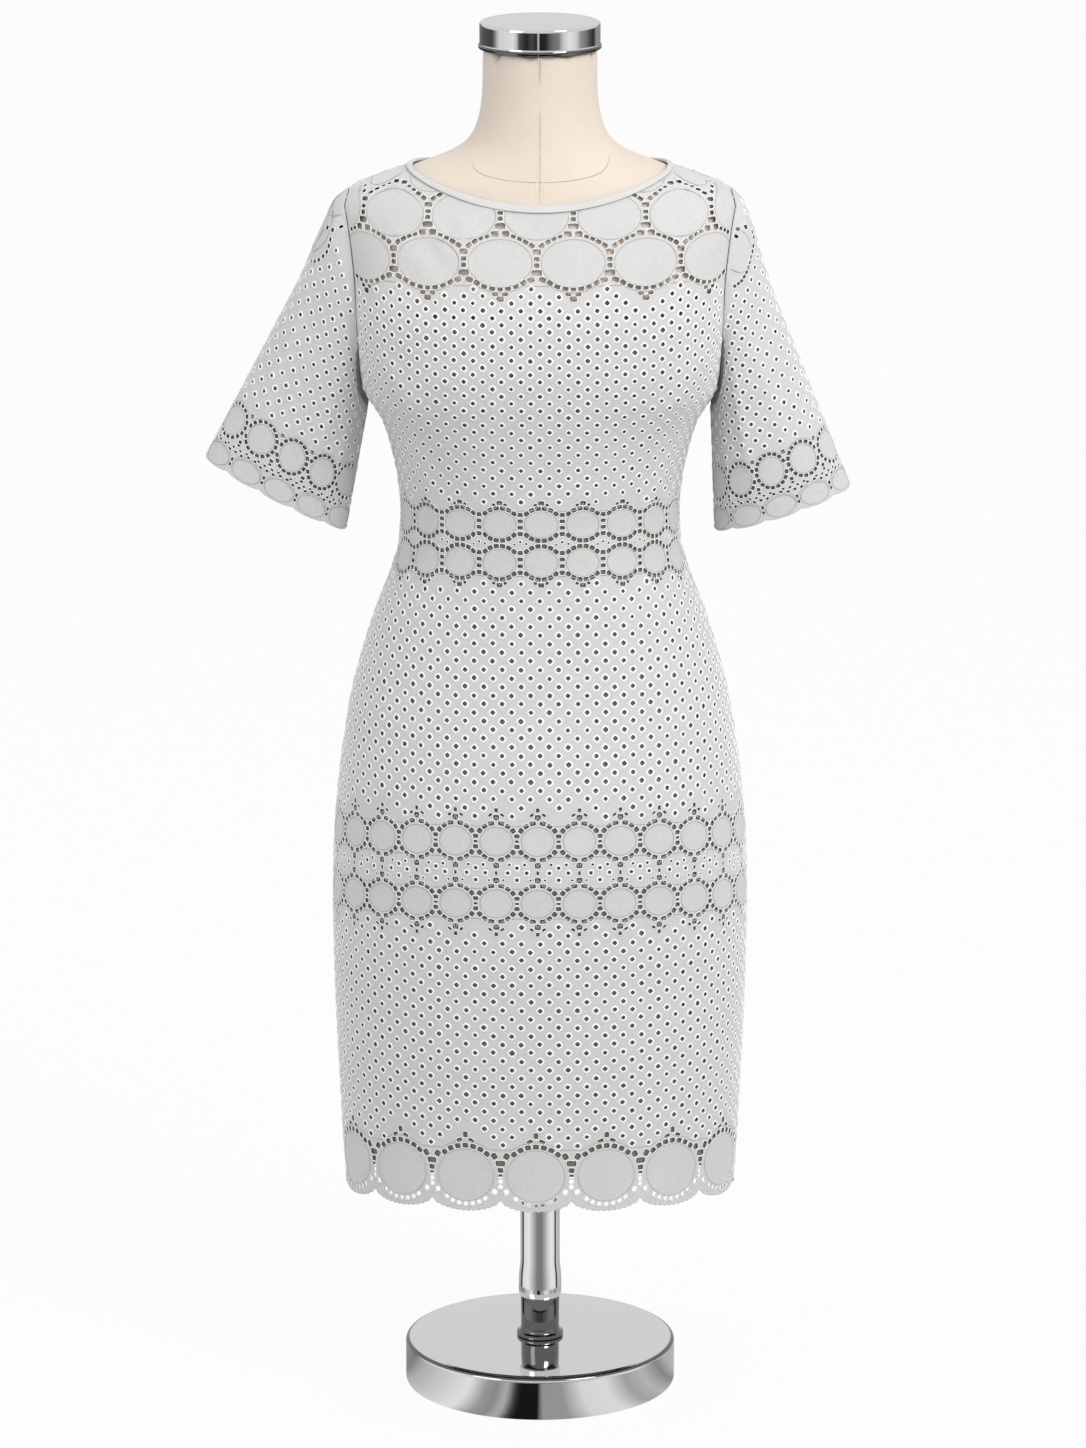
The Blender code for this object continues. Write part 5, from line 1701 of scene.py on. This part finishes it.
class FormBody(bpy.types.Operator):
    """Makes the form's covered body with its seams"""

    bl_idname = "dress.form_body"
    bl_label = "Form"

    def execute(self, context):
        settings = context.scene.form
        body = copy_of("form_torso", "form_body")
        merge_triangles(body, 1.0)
        subdivide(body, settings.round_off)
        smooth_shade(body, 50)
        body.data.materials.append(cover())
        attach(body, DRESSED)
        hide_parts("form_torso")
        self.seams(settings)
        return {"FINISHED"}

    def seams(self, settings):
        """The cover's centre seams, each with a fold at both sides, and its neck seam."""
        thread = thread_material("form_seam_thread", settings.seam_colour)
        # The folds take the cover's colour made lighter: a painted highlight on their ridges.
        fold_highlight = thread_material("form_seam_fold_painted_highlight", [c * 1.04 for c in settings.cover_colour])
        heights = np.linspace(*CENTRE_SEAM, 90)
        straight = np.ones(len(heights))
        for name, behind in (("form_front_seam", False), ("form_back_seam", True)):
            for side, turn in (("left", -FOLD_TURN), ("right", FOLD_TURN)):
                points = on_form(turn * straight, heights, behind)
                cord_on_form(f"{name}_{side}", points, *FOLD_LINE, fold_highlight)
            points = on_form(0 * straight, heights, behind)
            cord_on_form(f"{name}_stitch", points, *STITCH_LINE, thread)
        turns = np.linspace(-math.pi / 2, math.pi / 2, 121)
        rise = 1 - np.cos(turns) ** 1.6
        heights = NECK_PINNED + (NECK_SEAM_SIDE - NECK_PINNED) * rise
        for name, behind in (("neck_seam_front", False), ("neck_seam_back", True)):
            cord_on_form(name, on_form(turns, heights, behind), *NECK_LINE, thread)


# Profiles of the turned pieces: radius, height. Long straight sides have a ring close to each end,
# which keeps their shading straight.
CAP_PROFILE = (
    (0.0480, 1.1474), (0.0503, 1.1474), (0.0507, 1.1480), (0.0507, 1.1494), (0.0501, 1.1502),
    (0.0497, 1.1510), (0.0496, 1.1525), (0.0496, 1.1531), (0.0496, 1.1662), (0.0496, 1.1668),
    (0.0492, 1.1680), (0.0484, 1.1687), (0.0470, 1.1689), (0.0462, 1.1687), (0.0458, 1.1682),
    (0.0454, 1.1682), (0.0449, 1.1686), (0.0430, 1.1687), (0.0200, 1.1689), (0.0010, 1.1690),
)
POLE_PROFILE = (
    (0.0170, 0.0739), (0.0176, 0.0742), (0.0181, 0.0760), (0.0182, 0.0800), (0.0182, 0.0880),
    (0.0180, 0.0930), (0.0174, 0.0985), (0.0169, 0.1030), (0.0168, 0.1060), (0.0168, 0.4100),
)
COLLAR_PROFILE = (
    (0.0188, 0.0383), (0.0197, 0.0387), (0.0198, 0.0394), (0.0198, 0.0408), (0.0196, 0.0414),
    (0.0180, 0.0420), (0.0172, 0.0427), (0.0166, 0.0444), (0.0163, 0.0480), (0.0163, 0.0728),
    (0.0160, 0.0734),
)
PLATE_PROFILE = ((0.0440, 0.4103), (0.0450, 0.4113), (0.0450, 0.4187), (0.0440, 0.4197))
BASE_PROFILE = (
    (0.1120, 0.0000), (0.1138, 0.0006), (0.1145, 0.0020), (0.1146, 0.0040), (0.1146, 0.0050),
    (0.1146, 0.0326), (0.1146, 0.0335), (0.1143, 0.0350), (0.1135, 0.0361), (0.1122, 0.0367),
    (0.1116, 0.0369), (0.1112, 0.0373), (0.1105, 0.0376), (0.1090, 0.0378), (0.0600, 0.0379),
    (0.0215, 0.0380), (0.0020, 0.0380),
)
CAP_LIP_REFLECTION, BASE_EDGE_REFLECTION = (1.1470, 1.1512), (0.0354, 0.0368)  # heights of the bands of chrome painted dark as painted reflection


def turned_piece(name, profile, material, node):
    """A piece turned round the pole's axis: a circle raised and widened ring by ring, then capped."""
    sides = bpy.context.scene.metals.sides
    radius, height = profile[0]
    bpy.ops.object.select_all(action="DESELECT")
    bpy.ops.mesh.primitive_circle_add(
        vertices=sides, radius=radius, fill_type="NGON", location=(0, 0, height)
    )
    made = bpy.context.active_object
    made.name = made.data.name = name
    bpy.ops.object.transform_apply(location=True, rotation=True, scale=True)
    bpy.ops.object.mode_set(mode="EDIT")
    bpy.ops.mesh.select_all(action="SELECT")
    for next_radius, next_height in profile[1:]:
        rise = (0, 0, next_height - height)
        bpy.ops.mesh.extrude_region_move(TRANSFORM_OT_translate={"value": rise})
        if abs(next_radius - radius) > 1e-7:
            share = next_radius / radius
            bpy.ops.transform.resize(value=(share, share, 1), center_override=(0, 0, next_height))
        radius, height = next_radius, next_height
    bpy.ops.mesh.select_all(action="SELECT")
    bpy.ops.mesh.normals_make_consistent(inside=False)
    bpy.ops.object.mode_set(mode="OBJECT")
    smooth_shade(made, 30)
    made.data.materials.append(material)
    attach(made, DRESSED)
    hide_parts(node)
    return made


def paint_dark_reflection(piece, low, high):
    """Chrome painted dark on the faces between two heights: a painted dark reflection."""
    piece.data.materials.append(painted_reflection_chrome())
    for face in piece.data.polygons:
        if low < face.center.z < high:
            face.material_index = 1


class NeckCap(bpy.types.Operator):
    """Makes the chrome cap on the form's neck"""

    bl_idname = "dress.neck_cap"
    bl_label = "Neck cap"

    def execute(self, context):
        cap = turned_piece("neck_cap", CAP_PROFILE, chrome(), "form_neck_cap")
        paint_dark_reflection(cap, *CAP_LIP_REFLECTION)
        return {"FINISHED"}


class StandPole(bpy.types.Operator):
    """Makes the pole, its collar and the plate under the form"""

    bl_idname = "dress.stand_pole"
    bl_label = "Pole"

    def execute(self, context):
        turned_piece("pole", POLE_PROFILE, chrome(), "stand_pole")
        # The collar's chrome is painted dark: a painted reflection of dark surroundings.
        turned_piece("pole_collar", COLLAR_PROFILE, painted_reflection_chrome(), "stand_collar")
        turned_piece("form_base_plate", PLATE_PROFILE, chrome(), "form_plate")
        return {"FINISHED"}


class StandBase(bpy.types.Operator):
    """Makes the round weighted base"""

    bl_idname = "dress.stand_base"
    bl_label = "Base"

    def execute(self, context):
        base = turned_piece("round_base", BASE_PROFILE, chrome(), "stand_base")
        paint_dark_reflection(base, *BASE_EDGE_REFLECTION)
        return {"FINISHED"}


# ---------------------------------------------------------------- stage

CAMERA_SPOT, CAMERA_PITCH, CAMERA_LENS = (0.0025, -6.0, 2.10), 75.748, 183.8
# Where each light stands, what it is aimed at, and its width and height
KEY_LIGHT = ((2.0, -2.2, 3.1), (0, 0, 0.95), (1.4, 1.4))
FILL_LIGHT = ((-3.2, -3.0, 2.4), (0, 0, 0.7), (2.0, 2.4))


def area_light(name, spot, target, size, power):
    """A soft rectangular light aimed at a point."""
    bpy.ops.object.light_add(type="AREA", location=spot)
    light = bpy.context.active_object
    light.name = name
    light.data.shape = "RECTANGLE"
    light.data.size, light.data.size_y = size
    light.data.energy = power
    direction = Vector(target) - Vector(spot)
    light.rotation_euler = direction.to_track_quat("-Z", "Y").to_euler()


CAMERA_SKY, METAL_SKY = 0.99, 0.74  # how bright the surroundings look to the camera, and in polished metal
FLOOR_WHITE = 0.93  # share of plain white in the floor that the camera sees
# Degrees round from the front, and how bright the floor looks there in polished metal. The base's
# side sees the floor close by, the pole sees it a little further off and the cap from far away.
BASE_BANDS = (
    (-180, 0.50), (-98, 0.25), (-85, 0.50), (-58, 0.75), (-44, 0.90), (-33, 0.38), (-26, 0.30),
    (-20, 0.50), (-15, 0.06), (-12, 0.01), (-1, 0.01), (1, 0.35), (13, 0.36), (25, 0.80), (40, 0.85),
    (55, 0.42), (69, 0.55), (86, 0.28), (98, 0.50), (180, 0.50),
)
POLE_BANDS = (
    (-180, 0.60), (-128, 0.50), (-121, 0.05), (-110, 0.05), (-104, 0.85), (-66, 0.95), (-40, 0.55),
    (-18, 0.26), (8, 0.22), (28, 0.45), (50, 0.80), (66, 0.95), (88, 0.85), (94, 0.05), (102, 0.05),
    (108, 0.65), (140, 0.50), (180, 0.60),
)
CAP_BANDS = (
    (-180, 0.30), (-140, 0.10), (-104, 0.06), (-96, 0.22), (-84, 0.75), (-52, 0.88), (-45, 0.60),
    (-40, 0.09), (-26, 0.02), (-14, 0.07), (-5, 0.01), (-4, 0.60), (-2, 0.60), (-1, 0.01), (12, 0.03),
    (24, 0.18), (36, 0.24), (44, 0.65), (58, 0.92), (74, 0.72), (84, 0.32), (98, 0.22), (108, 0.10),
    (124, 0.02), (136, 0.30), (180, 0.30),
)
POLE_FLOOR, CAP_FLOOR = 0.26, 2.0  # distances from the pole at which each set of bands begins


def band_light(tree, share, bands):
    """How bright the floor looks at this share of the way round."""
    node = add(tree, "ShaderNodeValToRGB", {0: share})
    ramp = node.color_ramp
    while len(ramp.elements) > 1:
        ramp.elements.remove(ramp.elements[-1])
    for i, (degrees, light) in enumerate(bands):
        at = degrees / 360 + 0.5
        element = ramp.elements[0] if i == 0 else ramp.elements.new(at)
        element.position, element.color = at, (light, light, light, 1)
    return node.outputs[0]


def mixed(tree, share, first, second):
    """This share of the second look in the first."""
    return add(tree, "ShaderNodeMixShader", {0: share, 1: first.outputs[0], 2: second.outputs[0]})


class Studio(bpy.types.Operator):
    """Makes the floor, the lights and the camera"""

    bl_idname = "dress.studio"
    bl_label = "Studio"

    def execute(self, context):
        settings = context.scene.studio
        bpy.ops.object.select_all(action="DESELECT")
        bpy.ops.mesh.primitive_plane_add(size=120, location=(0, 0, 0))
        floor = context.active_object
        floor.name = "studio_floor"
        floor.data.materials.append(self.floor_material(settings))
        area_light("key_light", *KEY_LIGHT, settings.key_power)
        area_light("fill_light", *FILL_LIGHT, settings.fill_power)
        self.surroundings(context, settings)
        self.camera(context)
        return {"FINISHED"}

    def floor_material(self, settings):
        """A white sweep that keeps faint shadows. Polished metal sees bands of light and dark on it."""
        material, tree, shader = new_material("studio_floor")
        shader.inputs["Base Color"].default_value = (*settings.floor_colour, 1)
        shader.inputs["Roughness"].default_value = 0.9
        shader.inputs["Specular IOR Level"].default_value = 0.1
        path = add(tree, "ShaderNodeLightPath")
        white = add(tree, "ShaderNodeEmission", {"Color": (1, 1, 1, 1), "Strength": 1.0})
        place = object_place(tree)
        parts = add(tree, "ShaderNodeSeparateXYZ", {0: place})
        ahead = math_node(tree, "MULTIPLY", parts.outputs[1], -1.0)
        turn = math_node(tree, "ARCTAN2", parts.outputs[0], ahead)
        share = math_node(tree, "MULTIPLY_ADD", turn, 0.5 / math.pi, 0.5)
        distance = add(tree, "ShaderNodeVectorMath", {0: place}, operation="LENGTH")
        light = band_light(tree, share, BASE_BANDS)
        for start, bands in ((POLE_FLOOR, POLE_BANDS), (CAP_FLOOR, CAP_BANDS)):
            beyond = math_node(tree, "GREATER_THAN", distance.outputs["Value"], start)
            change = math_node(tree, "SUBTRACT", band_light(tree, share, bands), light)
            light = math_node(tree, "MULTIPLY_ADD", change, beyond, light)
        glow = add(tree, "ShaderNodeEmission", {"Color": (1, 1, 1, 1), "Strength": light})
        seen = mixed(tree, FLOOR_WHITE, shader, white)
        plain = mixed(tree, path.outputs["Is Camera Ray"], shader, seen)
        look = mixed(tree, path.outputs["Is Glossy Ray"], plain, glow)
        tree.links.new(look.outputs[0], tree.nodes["Material Output"].inputs["Surface"])
        return material

    def surroundings(self, context, settings):
        """Even white light. The camera sees it brighter and polished metal sees it greyer."""
        world = bpy.data.worlds.new("studio")
        context.scene.world = world
        context.scene.view_settings.view_transform = "Standard"
        world.use_nodes = True
        tree = world.node_tree
        background = tree.nodes["Background"]
        background.inputs["Color"].default_value = (1, 1, 1, 1)
        path = add(tree, "ShaderNodeLightPath")
        grey = math_node(tree, "MULTIPLY", path.outputs["Is Glossy Ray"], METAL_SKY - settings.sky)
        seen = path.outputs["Is Camera Ray"]
        bright = math_node(tree, "MULTIPLY_ADD", seen, CAMERA_SKY - settings.sky, settings.sky)
        tree.links.new(math_node(tree, "ADD", grey, bright), background.inputs["Strength"])

    def camera(self, context):
        """The camera at the front, a little above the dress."""
        bpy.ops.object.camera_add(location=CAMERA_SPOT, rotation=(math.radians(CAMERA_PITCH), 0, 0))
        camera = context.active_object
        camera.name = "camera"
        camera.data.lens = CAMERA_LENS
        context.scene.camera = camera


class DressPanel(bpy.types.Panel):
    """The steps that build the dress, in order"""

    bl_idname = "VIEW3D_PT_dress"
    bl_label = "Dress"
    bl_space_type = "VIEW_3D"
    bl_region_type = "UI"
    bl_category = "Dress"

    def draw(self, context):
        layout = self.layout
        for group in SETTINGS:
            settings = getattr(context.scene, group)
            box = layout.box()
            for name in settings.__annotations__:
                box.prop(settings, name)
        for step in STEPS:
            layout.operator(step.bl_idname)


SETTINGS = {
    "cotton": CottonSettings,
    "eyelets": EyeletSettings,
    "form": FormSettings,
    "metals": MetalSettings,
    "studio": StudioSettings,
}
STEPS = (
    FormBody, NeckCap, StandPole, StandBase, DressFront, DressBacks, DressSleeves, DressBinding,
    DressZip, Studio,
)


def register():
    """Adds the settings, the steps and the panel."""
    for group in (*SETTINGS.values(), *STEPS, DressPanel):
        bpy.utils.register_class(group)
    for name, group in SETTINGS.items():
        setattr(bpy.types.Scene, name, PointerProperty(type=group))


def unregister():
    """Takes them away again."""
    for name in SETTINGS:
        delattr(bpy.types.Scene, name)
    for group in (DressPanel, *reversed(STEPS), *SETTINGS.values()):
        bpy.utils.unregister_class(group)


def main():
    """Builds every piece in order."""
    register()
    for step in STEPS:
        name = step.bl_idname.split(".")[1]
        getattr(bpy.ops.dress, name)()


if __name__ == "__main__":
    main()
